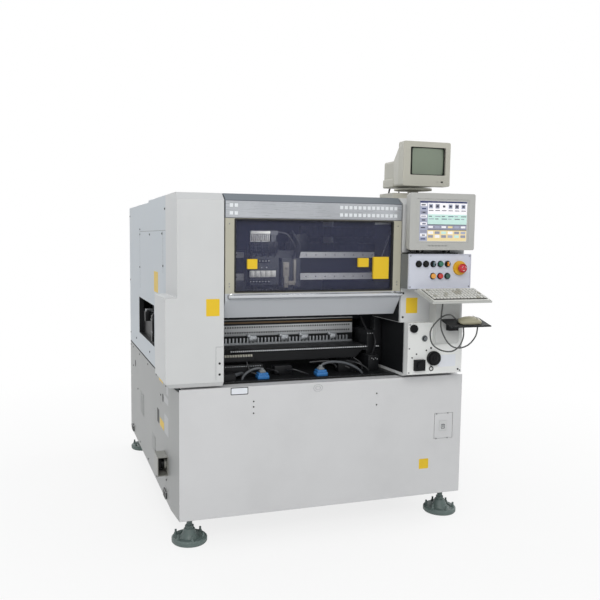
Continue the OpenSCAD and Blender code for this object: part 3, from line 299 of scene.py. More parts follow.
def tintedPane(name, code, clear, rough):
    # dark sheet that lets some light through
    mat, tree, shader = newMaterial(name)
    slow = noiseFrom(tree, 3.0, 2.0)
    tone = rampOf(tree, slow, [(0.3, shade(linear(code), 0.85)), (0.7, shade(linear(code), 1.15))])
    gloss = glossFrom(tree, slow, rough * 0.6, rough * 1.6)
    fill(tree, shader, {"Base Color": tone, "Roughness": gloss, "Alpha": clear, "Specular IOR Level": 0.4})
    return mat


materials["tintedWindow"] = tintedPane("tintedWindow", "#4b4f6b", 0.28, 0.05)
materials["darkWindow"] = tintedPane("darkWindow", "#1d1f2e", 0.95, 0.06)


def paintBelow(finish, lower, height):
    # a second colour on the part of a piece that lies below a height
    tree = materials[finish].node_tree
    shader = next(n for n in tree.nodes if n.bl_idname == "ShaderNodeBsdfPrincipled")
    place = node(tree, "ShaderNodeSeparateXYZ", {"Vector": node(tree, "ShaderNodeTexCoord").outputs["Object"]})
    below = times(tree, place.outputs["Z"], height / 1000, "LESS_THAN")
    upper = shader.inputs["Base Color"].links[0].from_socket
    fill(tree, shader, {"Base Color": mixed(tree, below, upper, linear(looks[lower]["code"]))})


paintBelow("hoodCream", "apronGrey", 1050)
print("finishes made:", len(materials))

wearing = {   # finish of each solid that stays as it is
    "base_frame": "frameGrey", "levelling_feet": "castFoot", "machine_bed": "bedPlate",
    "front_lower_panel": "cabinetPaint",
    # the side paints here are written darker than the front paints, partly as painted shade of the sides
    "left_lower_panel": "sideCabinetPaint", "right_lower_panel": "sideCabinetPaint", "rear_panels": "cabinetPaint",
    "left_front_cover": "coverPaint", "right_front_cover": "coverPaint", "left_side_cover": "sidePaint",
    "right_side_cover": "sidePaint", "roof_panel": "coverPaint", "hood_hinge_pins": "frameGrey",
    "gantry_frame": "gantryPaint",
    "feeder_bank": "blackPaint", "feeder_comb": "railAlloy", "conveyor_fixed_rail": "anodisedBlack",
    "pneumatic_couplers": "hoseBlue",
    "switch_box": "boxGrey", "switch_panel": "lavenderPlate", "estop_collar": "collarYellow",
    "tray_post": "postPaint",
    # the lower switch plate's paint is written lighter, as painted light against the trays' shadow
    "lower_switch_plate": "switchPlatePaint", "panel_sockets": "blackPlastic", "touch_panel_stand": "blackPlastic",
    "camera_monitor_stand": "monitorBeige", "main_switch_guard": "smokedGuard", "mouse_tray": "blackPaint",
    "hood_top": "hoodSlate",
    "hood_frame": "hoodCream", "hood_window": "tintedWindow", "hood_handle": "handleChrome",
    "rear_hood_frame": "coverPaint",
    "rear_hood_window": "darkWindow", "moving_beam": "beamAlloy", "placement_head": "headGrey",
    "nozzle_1": "groundSteel",
    "nozzle_2": "groundSteel", "nozzle_3": "groundSteel", "nozzle_4": "groundSteel",
    "conveyor_moving_rail": "railAlloy",
    "backup_table": "groundSteel", "touch_panel_housing": "panelGrey", "touch_panel_screen": "printPink",
    "camera_monitor_housing": "monitorBeige", "camera_monitor_screen": "tubeGlass", "keyboard_tray": "trayMetal",
    "key_selector": "capSlate", "green_button": "capGreen", "orange_selector": "capOrange",
    "amber_button": "capAmber",
    "red_button": "capRed", "dark_green_button": "capDarkGreen", "emergency_stop": "stopRed",
    "main_switch_knob": "capBlack",
    "hatch_door": "cabinetPaint"}
for nodeName, finish in wearing.items():
    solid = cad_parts[nodeName]
    solid.data.materials.clear()
    solid.data.materials.append(materials[finish])
print("solids finished:", len(wearing))

# shaping


def keep(bm, name, body, finishes, smooth=35):
    # turns the shaped mesh into a finished piece on its body
    bmesh.ops.recalc_face_normals(bm, faces=bm.faces)
    mesh = bpy.data.meshes.new(name)
    bm.to_mesh(mesh)
    bm.free()
    return keepMesh(mesh, name, body, finishes, smooth)


def keepMesh(mesh, name, body, finishes, smooth=35):
    if finishes:
        for finish in finishes if isinstance(finishes, (list, tuple)) else [finishes]:
            mesh.materials.append(materials[finish])
    mesh.polygons.foreach_set("use_smooth", [True] * len(mesh.polygons))
    mesh.set_sharp_from_angle(angle=math.radians(smooth))
    piece = newObject(name, mesh)
    if body:
        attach(piece, body)
    return piece


def addBlock(bm, xs, ys, zs, round=0.0, index=0):
    # box in millimetres with rounded edges
    low, high = at(xs[0], ys[0], zs[0]), at(xs[1], ys[1], zs[1])
    made = bmesh.ops.create_cube(bm, size=1.0)["verts"]
    for v in made:
        v.co = Vector([low[i] + (v.co[i] + 0.5) * (high[i] - low[i]) for i in range(3)])
    for face in {f for v in made for f in v.link_faces}:
        face.material_index = index
    if round:
        edges = list({e for v in made for e in v.link_edges})
        bmesh.ops.bevel(bm, geom=edges, offset=round / 1000, segments=2, profile=0.5, affect="EDGES",
            material=index)


def bridge(bm, a, b):
    # faces between two rings, either of which may be a single point
    count = max(len(a), len(b))
    for i in range(count):
        j = (i + 1) % count
        if len(a) == 1:
            bm.faces.new([a[0], b[j], b[i]])
        elif len(b) == 1:
            bm.faces.new([a[i], a[j], b[0]])
        else:
            bm.faces.new([a[i], a[j], b[j], b[i]])


def ringAt(bm, centre, side, other, radius, sides):
    # corners of a circle of a radius in millimetres
    turns = [math.tau * k / sides for k in range(sides)]
    return [bm.verts.new(centre + (side * math.cos(turn) + other * math.sin(turn)) * radius / 1000)
        for turn in turns]


def addTurned(bm, profile, centre, axis, sides=32):
    # profile of (radius, along) in millimetres turned round an axis; ends at radius 0 are closed to a point
    along = Vector(axis).normalized()
    side = along.orthogonal().normalized()
    other = along.cross(side)
    rings = []
    for radius, far in profile:
        place = at(*centre) + along * far / 1000
        rings.append([bm.verts.new(place)] if radius < 0.001 else ringAt(bm, place, side, other, radius, sides))
    for a, b in zip(rings, rings[1:]):
        bridge(bm, a, b)
    for ring in (rings[0], rings[-1]):
        if len(ring) > 1:
            bm.faces.new(ring)


def smoothRoute(points, per=6):
    # Catmull-Rom line through given points
    out = []
    for i in range(len(points) - 1):
        a, b, c, d = (Vector(points[k]) for k in (max(i - 1, 0), i, i + 1, min(i + 2, len(points) - 1)))
        for k in range(per):
            t = k / per
            out.append(0.5 * (2 * b + (c - a) * t + (2 * a - 5 * b + 4 * c - d) * t * t
                + (3 * b - a - 3 * c + d) * t ** 3))
    return out + [Vector(points[-1])]


def addTube(bm, points, radius, sides=10, per=6, route=True):
    line = [at(*p) for p in (smoothRoute(points, per) if route else points)]
    rings, side = [], None
    for i, here in enumerate(line):
        ahead = (line[min(i + 1, len(line) - 1)] - line[max(i - 1, 0)]).normalized()
        side = ahead.orthogonal().normalized() if side is None else (side - ahead * side.dot(ahead)).normalized()
        rings.append(ringAt(bm, here, side, ahead.cross(side), radius, sides))
    for a, b in zip(rings, rings[1:]):
        bridge(bm, a, b)
    for ring in (rings[0], rings[-1]):
        bm.faces.new(ring)


def onPlane(axis, u, v, w):
    return at(*{"x": (w, u, v), "y": (u, w, v), "z": (u, v, w)}[axis])


def addPlate(bm, outline, axis, a, b, round=0.0):
    # outline of 2-D points in millimetres drawn out along an axis from a to b
    lower, upper = ([bm.verts.new(onPlane(axis, u, v, w)) for u, v in outline] for w in (a, b))
    ends = [bm.faces.new(lower), bm.faces.new(list(reversed(upper)))]
    bridge(bm, upper, lower)
    if round:
        edges = list({e for face in ends for e in face.edges})
        bmesh.ops.bevel(bm, geom=edges, offset=round / 1000, segments=2, profile=0.5, affect="EDGES", material=0)


def roundRect(u0, u1, v0, v1, r, n=5):
    # outline of a rectangle with rounded corners
    points = []
    for cu, cv, start in ((u1 - r, v1 - r, 0), (u0 + r, v1 - r, 90), (u0 + r, v0 + r, 180), (u1 - r, v0 + r, 270)):
        for i in range(n + 1):
            turn = math.radians(start + 90 * i / n)
            points.append((cu + r * math.cos(turn), cv + r * math.sin(turn)))
    return points


def ellipse(cu, cv, ru, rv, count, extra=0):
    turns = [math.tau * k / count for k in range(count + extra)]
    return [(cu + ru * math.cos(turn), cv + rv * math.sin(turn)) for turn in turns]


def frameRing(bm, outer, inner, axis, a, b):
    # flat ring between two outlines with the same number of points
    rows = [[bm.verts.new(onPlane(axis, u, v, w)) for u, v in line] for line,
        w in ((outer, a), (outer, b), (inner, b), (inner, a))]
    for p, q in zip(rows, rows[1:] + rows[:1]):
        bridge(bm, p, q)


def edgeFrame(bm, xs, zs, out, inset, corners, y0, y1, axis="y"):
    # ring along a rectangle's edge, from out beyond it to inset within it
    outer = roundRect(xs[0] - out, xs[1] + out, zs[0] - out, zs[1] + out, corners[0])
    inner = roundRect(xs[0] + inset, xs[1] - inset, zs[0] + inset, zs[1] - inset, corners[1])
    frameRing(bm, outer, inner, axis, y0, y1)


# node trees for what repeats


def newTree(name, inputs):
    tree = bpy.data.node_groups.new(name, "GeometryNodeTree")
    tree.interface.new_socket(name="Geometry", in_out="INPUT", socket_type="NodeSocketGeometry")
    tree.interface.new_socket(name="Geometry", in_out="OUTPUT", socket_type="NodeSocketGeometry")
    for label, value in inputs.items():
        kind = "NodeSocketInt" if isinstance(value, int) else "NodeSocketFloat"
        tree.interface.new_socket(name=label, in_out="INPUT", socket_type=kind).default_value = value
    return tree, tree.nodes.new("NodeGroupInput"), tree.nodes.new("NodeGroupOutput")


def grow(tree, baseMesh, name, body, settings=None):
    # runs a tree on a base mesh and keeps the plain result
    holder = newObject(name + "Base", baseMesh)
    modifier = holder.modifiers.new("shape", "NODES")
    modifier.node_group = tree
    for item in tree.interface.items_tree:
        if item.item_type == "SOCKET" and item.in_out == "INPUT" and settings and item.name in settings:
            modifier[item.identifier] = settings[item.name]
    bpy.context.view_layer.update()
    result = bpy.data.meshes.new_from_object(holder.evaluated_get(bpy.context.evaluated_depsgraph_get()))
    result.name = name
    holder.modifiers.remove(modifier)
    bpy.data.objects.remove(holder)
    return keepMesh(result, name, body, None)


def pointMesh(name, points, facings):
    mesh = bpy.data.meshes.new(name)
    mesh.from_pydata([at(*p) for p in points], [], [])
    facing = mesh.attributes.new("facing", "FLOAT_VECTOR", "POINT")
    facing.data.foreach_set("vector", [c for f in facings for c in f])
    return mesh


def facingRotation(tree):
    named = node(tree, "GeometryNodeInputNamedAttribute", {"Name": "facing"}, data_type="FLOAT_VECTOR")
    return node(tree, "FunctionNodeAlignRotationToVector", {"Vector": named.outputs["Attribute"]},
        axis="Z").outputs["Rotation"]


def withMaterial(tree, geometry, finish):
    return node(tree, "GeometryNodeSetMaterial", {"Geometry": geometry,
        "Material": materials[finish]}).outputs["Geometry"]


def moved(tree, geometry, z):
    # lifts a part of an instance along its own axis
    lift = node(tree, "ShaderNodeCombineXYZ", {"Z": z}).outputs["Vector"]
    return node(tree, "GeometryNodeTransform", {"Geometry": geometry, "Translation": lift}).outputs["Geometry"]


def sizeFrom(tree, source, *labels):
    # three inputs of a tree as one size
    return node(tree, "ShaderNodeCombineXYZ", {axis: source.outputs[label] for label,
        axis in zip(labels, "XYZ")}).outputs["Vector"]


def spread(tree, source, parts, rotation=None):
    # sets the joined parts on every point, then makes them real
    join = node(tree, "GeometryNodeJoinGeometry")
    for part in parts:
        fill(tree, join, {"Geometry": part})
    place = node(tree, "GeometryNodeInstanceOnPoints", {"Points": source, "Instance": join.outputs["Geometry"]})
    if rotation:
        fill(tree, place, {"Rotation": rotation})
    return node(tree, "GeometryNodeRealizeInstances", {"Geometry": place.outputs["Instances"]}).outputs["Geometry"]


def screwTree(kind, finish="screwSteel"):
    # pan heads with a cross recess, or socket heads
    tree, source, out = newTree(kind + "Screws", {"Head radius": 0.004, "Head height": 0.002})
    radius, height = source.outputs["Head radius"], source.outputs["Head height"]
    top = times(tree, radius, 0.72 if kind == "cross" else 0.94)
    head = node(tree, "GeometryNodeMeshCone", {"Vertices": 14, "Radius Top": top, "Radius Bottom": radius,
        "Depth": height})
    marks = []
    if kind == "cross":
        for wide, deep in ((1.15, 0.3), (0.3, 1.15)):
            size = node(tree, "ShaderNodeCombineXYZ", {"X": times(tree, radius, wide),
                "Y": times(tree, radius, deep), "Z": 0.0004})
            marks.append(node(tree, "GeometryNodeMeshCube", {"Size": size.outputs["Vector"]}))
    else:
        marks.append(node(tree, "GeometryNodeMeshCylinder",
            {"Vertices": 6, "Radius": times(tree, radius, 0.5), "Depth": 0.0005}))
    parts = [withMaterial(tree, head.outputs["Mesh"], finish)]
    parts += [withMaterial(tree, moved(tree, mark.outputs["Mesh"], height), "screwRecess") for mark in marks]
    fill(tree, out, {"Geometry": spread(tree, source.outputs["Geometry"], parts, facingRotation(tree))})
    return tree


crossScrews, socketScrews, darkScrews = screwTree("cross"), screwTree("socket"), screwTree("cross", "blackOxide")


def screws(name, body, points, facing, radius=4.0, height=2.0, tree=None):
    base = pointMesh(name, points, [facing] * len(points) if isinstance(facing[0], (int, float)) else facing)
    return grow(tree or crossScrews, base, name, body,
        {"Head radius": radius / 1000, "Head height": height / 1000})


def tileTree(name, finish, round=False):
    # small flat tiles or discs, standing on a surface
    tree, source, out = newTree(name, {"Width": 0.01, "Height": 0.01, "Thickness": 0.0006})
    if round:
        radius = times(tree, source.outputs["Width"], 0.5)
        tile = node(tree, "GeometryNodeMeshCylinder", {"Vertices": 10, "Radius": radius,
            "Depth": source.outputs["Thickness"]})
    else:
        tile = node(tree, "GeometryNodeMeshCube", {"Size": sizeFrom(tree, source, "Width", "Height", "Thickness")})
    part = withMaterial(tree, tile.outputs["Mesh"], finish)
    fill(tree, out, {"Geometry": spread(tree, source.outputs["Geometry"], [part], facingRotation(tree))})
    return tree


def tiles(name, body, points, facing, width, height, thickness, finish, round=False):
    return grow(tileTree(name + "Tree", finish, round), pointMesh(name, points, [facing] * len(points)), name,
        body,
                {"Width": width / 1000, "Height": height / 1000, "Thickness": thickness / 1000})


front, back, leftWay, rightWay, upWay = (0, -1, 0), (0, 1, 0), (-1, 0, 0), (1, 0, 0), (0, 0, 1)
print("shaping ready")

# stage and light
stageSettings = {"floorSize": 40.0, "floorCode": "#eeeeec", "worldStrength": 0.46, "fadeStart": 0.6,
    "fadeEnd": 3.2, "nearWhite": 0.8}


def seenDirectly(tree):
    # 1 on rays that show a surface as it is: camera, mirror and glass rays
    rays = node(tree, "ShaderNodeLightPath")
    seen = times(tree, rays.outputs["Is Camera Ray"], rays.outputs["Is Glossy Ray"], "MAXIMUM")
    return times(tree, seen, rays.outputs["Is Transmission Ray"], "MAXIMUM")


def makeStage(s):
    mat, tree, shader = newMaterial("stageFloor")
    pale = linear(s["floorCode"])
    tone = rampOf(tree, noiseFrom(tree, 1.5), [(0.3, shade(pale, 0.97)), (0.7, pale)])
    fill(tree, shader, {"Base Color": tone, "Roughness": 0.9})
    place = node(tree, "ShaderNodeTexCoord").outputs["Object"]   # the floor turns plain white away from the machine
    reach = node(tree, "ShaderNodeVectorMath", {0: place}, operation="LENGTH").outputs["Value"]
    fade = node(tree, "ShaderNodeMapRange", {"Value": reach, "From Min": s["fadeStart"], "From Max": s["fadeEnd"],
                                             "To Min": s["nearWhite"], "To Max": 1.0}).outputs["Result"]
    white = node(tree, "ShaderNodeEmission").outputs["Emission"]
    shown = times(tree, fade, seenDirectly(tree))
    blend = node(tree, "ShaderNodeMixShader", {"Fac": shown, 1: shader.outputs["BSDF"], 2: white})
    out = next(n for n in tree.nodes if n.bl_idname == "ShaderNodeOutputMaterial")
    fill(tree, out, {"Surface": blend.outputs["Shader"]})
    bm = bmesh.new()
    bmesh.ops.create_grid(bm, x_segments=2, y_segments=2, size=s["floorSize"] / 2)
    mesh = bpy.data.meshes.new("stageFloor")
    bm.to_mesh(mesh)
    bm.free()
    mesh.materials.append(mat)
    floor = newObject("stageFloor", mesh)
    world = bpy.data.worlds.new("world")
    world.use_nodes = True
    tree = world.node_tree
    tree.nodes.clear()
    light = node(tree, "ShaderNodeBackground", {"Color": (0.93, 0.96, 1.0, 1), "Strength": s["worldStrength"]})
    backdrop = node(tree, "ShaderNodeBackground", {"Color": (1, 1, 1, 1), "Strength": 1.0})
    mix = node(tree, "ShaderNodeMixShader", {"Fac": seenDirectly(tree), 1: light.outputs["Background"],
        2: backdrop.outputs["Background"]})
    node(tree, "ShaderNodeOutputWorld", {"Surface": mix.outputs["Shader"]})
    bpy.context.scene.world = world


def makeLamp(name, place, aim, size, power, colour=(1, 1, 1)):
    data = bpy.data.lights.new(name, "AREA")
    data.shape = "DISK"
    data.size = size
    data.energy = power
    data.color = colour
    lamp = newObject(name, data)
    lamp.matrix_world = Matrix.Translation(Vector(place)) @ (Vector(aim) - Vector(place)).to_track_quat("-Z",
        "Y").to_matrix().to_4x4()


makeStage(stageSettings)
makeLamp("lampFront", (-1.6, -4.6, 3.6), (0, -0.4, 0.8), 3.2, 115, (1.0, 0.99, 0.97))
makeLamp("lampLeft", (-4.8, -0.6, 3.0), (0, 0, 0.8), 3.0, 15, (0.95, 0.98, 1.0))
makeLamp("lampRight", (4.6, 1.2, 3.4), (0, 0, 0.8), 3.0, 70)
makeLamp("lampRear", (-1.0, 4.8, 3.4), (0, 0, 0.8), 3.0, 70)
# lights the head behind the tinted pane; the machine has no such fixture
makeLamp("lampInside", at(-60, 130, 1380), at(-60, 400, 1120), 0.25, 1.3)
print("stage lit")

# cords between the keyboard, the mouse and their trays
cordRoutes = {   # the same points as the solids' routes, in millimetres
    "keyboardCord": ("keyboard_cord", [(449, -150, 1040.5), (448, -150, 1000), (442, -150, 942), (446, -150, 891),
    (480, -150, 834),
                     (525, -150, 810), (579, -150, 821), (615, -150, 858), (623, -150, 893), (623, -150, 907)]),
    "mouseCord": ("mouse_cord", [(536.5, -133, 924), (516, -139, 940), (485, -150, 956), (437, -162, 947),
    (390, -162, 901),
                  (387, -162, 859), (402, -162, 828), (442, -162, 805), (491, -162, 799), (529, -160, 819),
                  (551, -155, 858),
                  (553, -151, 893), (553, -150, 907)])}
cordRadius = 3.2
for name, (solid, points) in cordRoutes.items():
    bm = bmesh.new()
    addTube(bm, points, cordRadius - 0.1, 12, 3)
    followsTray = name == "keyboardCord"   # its upper end sits at the tray; this cord is kept without a body
    cord = keep(bm, name, None if followsTray else "machine", "cordGrey")
    if followsTray:
        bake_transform(cord)
    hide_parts(solid)
print("cords laid")

# front hood
hoodX, hoodY, hoodZ = span("hood_frame")
paneX, paneY, paneZ = span("hood_window")
hoodSettings = {"bandLow": hoodZ[1] + 1, "bandHigh": hoodZ[1] + 70, "square": 14}
bandFace = hoodY[0]

bm = bmesh.new()
addPlate(bm, roundRect(hoodX[0] + 1, hoodX[1] - 1, hoodSettings["bandLow"], hoodSettings["bandHigh"], 2), "y",
    bandFace - 0.8, bandFace + 0.2)
# band whose tone carries a painted reflection
keep(bm, "hoodSilverBand", "front_hood", "silverBand")
squares = [(hoodX[0] + 24 + 20.5 * i, bandFace - 0.9, hoodSettings["bandLow"] + 19 + 31 * j) for i in (0, 1)
    for j in (0, 1)]
squares += [(hoodX[1] - 30 - 21 * i, bandFace - 0.9, hoodSettings["bandLow"] + 19 + 31 * j) for i in range(13)
    for j in (0, 1)]
tiles("hoodSquares", "front_hood", squares, front, hoodSettings["square"], hoodSettings["square"],
    0.5, "printWhite")
bm = bmesh.new()
addBlock(bm, (hoodX[0] + 1, hoodX[1] - 1), (bandFace - 1.2, bandFace + 0.4),
    (hoodSettings["bandHigh"] - 1.4, hoodSettings["bandHigh"] + 0.2))
addBlock(bm, (hoodX[0] + 1, hoodX[1] - 1), (bandFace - 1.2, bandFace + 0.4),
    (hoodSettings["bandLow"] - 0.6, hoodSettings["bandLow"] + 1.2))
# these edge lines glow a little from their finish: painted glow
keep(bm, "hoodBandEdges", "front_hood", "printDark")

glassLeft, glassRight, glassLow, glassHigh = paneX[0] + 10, paneX[1] - 10, paneZ[0] + 8, hoodZ[1] - 2
bm = bmesh.new()   # rubber seal round the pane
frameRing(bm, roundRect(glassLeft - 1, glassRight + 1, glassLow - 1, glassHigh + 0.5, 6),
    roundRect(glassLeft + 6, glassRight - 6, glassLow + 6, glassHigh - 6, 5), "y", bandFace - 1.0, paneY[0] - 0.05)
keep(bm, "windowSeal", "front_hood", "rubberBlack")
screws("hoodFrameScrews", "front_hood", [(x, bandFace, z) for x in (hoodX[0] + 17, hoodX[1] - 17)
    for z in (1090, 1330)], front, 3.0, 1.4)
screws("hoodRailScrews", "front_hood", [(x, bandFace, hoodZ[0] + 132)
    for x in (hoodX[0] + 17, hoodX[1] - 17)], front, 3.0, 1.4)
handleX, handleY, handleZ = span("hood_handle")
handleMid = (handleZ[0] + handleZ[1]) / 2
handleRadius = (handleZ[1] - handleZ[0]) / 2
handleCentre = handleY[0] + handleRadius
bm = bmesh.new()
for x in (hoodX[0] + 30, hoodX[1] - 30):
    addTurned(bm, [(0, 0), (12, 0), (12, 2.5), (9, 4), (0, 4)], (x, bandFace + 0.2, handleMid), front, 24)
for x in (handleX[0], handleX[1]):
    side = -1 if x == handleX[0] else 1
    addTurned(bm, [(0, -6), (handleRadius + 0.8, -6), (handleRadius + 0.8, 0.6), (handleRadius - 2, 1.8),
        (0, 1.8)], (x - side * 1.8, handleCentre, handleMid), (side, 0, 0), 24)
keep(bm, "handleBrackets", "front_hood", "ringChrome")
bm = bmesh.new()
for x0, x1, z0, z1 in ((-379, -337, 1149, 1189), (111, 159, 1155, 1193), (182, 254, 1104, 1198)):
    addPlate(bm, roundRect(x0, x1, z0, z1, 3), "y", bandFace + 0.3, paneY[0] + 0.02)
keep(bm, "windowPlates", "front_hood", "barePlateYellow")
bm = bmesh.new()   # fold line and grip lip on the apron
addBlock(bm, (hoodX[0] + 4, hoodX[1] - 4), (bandFace - 1.0, bandFace + 0.2), (1023.6, 1026.4), 0.4)
addPlate(bm, [(-150, 1052), (-20, 1052), (-20, 1060), (-150, 1060)], "y", bandFace - 0.7, bandFace + 0.1)
keep(bm, "apronTrim", "front_hood", "apronGrey")
bm = bmesh.new()   # gas springs inside the hood, on both sides
for x in (hoodX[0] + 12, hoodX[1] - 12):
    addTube(bm, [(x, 30, 1330), (x, 90, 1250)], 6, 14, 1, route=False)
    addTube(bm, [(x, 60, 1290), (x, 150, 1170)], 3.5, 12, 1, route=False)
keep(bm, "gasSprings", "front_hood", "ringChrome")
print("front hood dressed")

# covers: seams, screws and bare plates
leftX, leftY, leftZ = span("left_front_cover")
rightX, rightY, _ = span("right_front_cover")
sideX, rightSideX = span("left_side_cover")[0], span("right_side_cover")[0]
topHeight = leftZ[1]
bm = bmesh.new()
for x0, x1, z0, z1 in ((-549, -494, 961, 1030), (342, 398, 952, 1020)):
    addPlate(bm, roundRect(x0, x1, z0, z1, 3), "y", leftY[0] - 0.5, leftY[0] + 0.1)
for x0, x1 in ((sideX[0] - 0.5, sideX[0] + 0.1), (rightSideX[1] - 0.1, rightSideX[1] + 0.5)):
    addPlate(bm, roundRect(458, 576, 1019, 1115, 3), "x", x0, x1)
keep(bm, "coverPlates", "machine", "barePlateYellow")
sideScrews = [(1064, 1315), (1066, 1288), (714, 1287), (337, 1290), (1076, 1113), (314, 1149), (262, 1395),
    (1505, 1395),
              (1505, 1020), (1505, 705), (1240, 705), (728, 705), (262, 705), (262, 1020)]
screws("leftCoverScrews", "machine", [(sideX[0], y, z) for y, z in sideScrews], leftWay, 5.5, 2.4,
    darkScrews)
screws("rightCoverScrews", "machine", [(rightSideX[1], y, z) for y, z in sideScrews], rightWay, 5.5, 2.4,
    darkScrews)
screws("frontCoverScrews", "machine", [(-493, leftY[0], z) for z in (768, 723)] + [(x, rightY[0], z)
    for x in (328, 606) for z in (935, 1040)], front, 5.0, 2.2, darkScrews)
roofTop = span("roof_panel")[2][1]
screws("roofScrews", "machine", [(x, y, topHeight) for x in (-610, -200, 200, 610)
    for y in (300, 700)] + [(x, y, roofTop if y < 741 else 1443) for x in (-610, 610) for y in (800, 1240)], upWay,
    5.0, 2.2)
print("covers dressed")

# switch panel
panelX, panelY, panelZ = span("switch_panel")
face = panelY[0] + 4
buttonPlaces = {key: [sum(s) / 2 for s in span(key)] for key in ("key_selector", "green_button", "orange_selector",
    "amber_button", "red_button", "dark_green_button", "emergency_stop")}
rowOne = buttonPlaces["green_button"][2]
blankX = [buttonPlaces["key_selector"][0] - 70, buttonPlaces["key_selector"][0] - 35]
bm = bmesh.new()
for key, (x, _, z) in buttonPlaces.items():
    if key != "emergency_stop":
        addTurned(bm, [(11.6, -0.2), (13.8, -0.2), (14.2, 0.6), (13.6, 3.8), (12.8, 4.4), (11.6, 4.4)],
            (x, face, z), front, 36)
for x in blankX:
    addTurned(bm, [(11.3, -0.2), (14.2, -0.2), (14.8, 0.6), (14.0, 4.4), (12.8, 5.2), (11.3, 5.2)],
        (x, face, rowOne), front, 36)
keep(bm, "buttonRings", "machine", "capBlack")
bm = bmesh.new()
for x in blankX:
    addTurned(bm, [(0, 7.8), (10.4, 7.8), (11.1, 8.6), (10.6, 10.2), (8, 10.8), (0, 10.8)], (x, face, rowOne),
        front, 32)
keep(bm, "blankCaps", "machine", "capBlack")
for key, finish, body in (("green_button", "capGreen", "green_push"), ("amber_button", "capAmber", "amber_push"),
        ("red_button", "capRed", "red_push"), ("dark_green_button", "capDarkGreen", "dark_green_push")):
    x, _, z = buttonPlaces[key]
    bm = bmesh.new()   # dished lens over the cap's face
    addTurned(bm, [(0, 8.8), (10.0, 8.8), (10.8, 9.4), (10.4, 11.0), (9.2, 11.6), (7.0, 10.9), (0, 10.4)],
        (x, face, z), front, 32)
    keep(bm, key.replace("_b", "B").replace("_g", "G") + "Lens", body, finish)
for key, body, slotName in (("key_selector", "key_switch", "slate_plastic"),
        ("orange_selector", "orange_switch", "orange_plastic")):
    x, _, z = buttonPlaces[key]
    bm = bmesh.new()   # white pointer line on the grip
    addBlock(bm, (x - 0.9, x + 0.9), (face - 16.5, face - 15.9), (z + 1, z + 8.4))
    keep(bm, key.split("_")[0] + "Pointer", body, "printWhite")
stopX, _, stopZ = buttonPlaces["emergency_stop"]
bm = bmesh.new()
addTurned(bm, [(11.2, 4.8), (29.4, 4.8), (30.4, 5.6), (27, 6.4), (11.2, 6.4)], (stopX, face, stopZ), front, 48)
keep(bm, "stopCollarFace", "machine", "collarYellow")
bm = bmesh.new()   # turn arrows and gripping notches on the mushroom
for i in range(3):
    turn = math.tau * i / 3
    addTube(bm, [(stopX + 10 * math.cos(turn + k * 0.22), face - 35.4, stopZ + 10 * math.sin(turn + k * 0.22))
        for k in range(5)], 0.9, 6, 1, route=False)
keep(bm, "stopArrows", "stop_push", "printWhite")
bm = bmesh.new()
addTurned(bm, [(18.6, 21.2), (19.3, 22.0), (19.3, 28.2), (18.6, 29.0), (18.2, 25.0)], (stopX, face, stopZ), front,
    48)
keep(bm, "stopRim", "stop_push", "stopRed")
screws("panelScrews", "machine", [(x, face, z) for x in (panelX[0] + 8, panelX[1] - 8)
    for z in (panelZ[0] + 8, panelZ[1] - 8)], front, 3.2, 1.6)
bm = bmesh.new()   # thin edge of the box round the plate
edgeFrame(bm, panelX, panelZ, 0.4, 2.2, (3, 2), face - 0.8, face + 4.2)
keep(bm, "panelEdge", "machine", "lavenderPlate")
print("switch panel dressed")

# touch panel
lcdX, lcdY, lcdZ = span("touch_panel_housing")
lcdHigh = lcdZ[1]
screenX, screenY, screenZ = span("touch_panel_screen")
glass = screenY[0]
screenArt = {"title": 7, "iconColumn": 0.17, "topShare": 0.30, "mintShare": 0.27, "greyShare": 0.14}


def printBlock(bm, x0, x1, z0, z1, lift, index=0):
    addBlock(bm, (x0, x1), (glass - lift, glass - lift + 0.35), (z0, z1), index=index)


bm = bmesh.new()   # plain coloured fields of the control screen
sx0, sx1, sz0, sz1 = screenX[0] + 17, screenX[1] - 9, screenZ[0] + 6, screenZ[1] - 9
navy, lavender, pink, mint, grey, tan, dark = range(7)
tall = sz1 - sz0 - screenArt["title"]
columnEnd = sx0 + screenArt["iconColumn"] * (sx1 - sx0)
z = sz1 - screenArt["title"]
printBlock(bm, sx0, sx1, z, sz1, 0.4, navy)
printBlock(bm, sx0, columnEnd, sz0, z, 0.4, lavender)
levels = [z]
for share in ("topShare", "mintShare", "greyShare"):
    levels.append(levels[-1] - screenArt[share] * tall)
levels.append(sz0)
for high, low, field in zip(levels, levels[1:], (pink, mint, grey, tan)):
    printBlock(bm, columnEnd, sx1, low, high, 0.4, field)
for level in levels[2:4]:
    printBlock(bm, columnEnd, sx1, level - 1.2, level + 1.2, 0.7, dark)
for i in range(10):   # picture keys down the left
    top = z - 3 - 16 * i
    printBlock(bm, sx0 + 4, columnEnd - 4, top - 12, top, 0.7, (pink, lavender, grey, pink, lavender)[i % 5])
    printBlock(bm, sx0 + 7 + 3 * (i % 3), columnEnd - 12 + 3 * (i % 2), top - 9, top - 4, 0.9,
        (dark, navy, dark, grey)[i % 4])
step = (sx1 - columnEnd) / 6
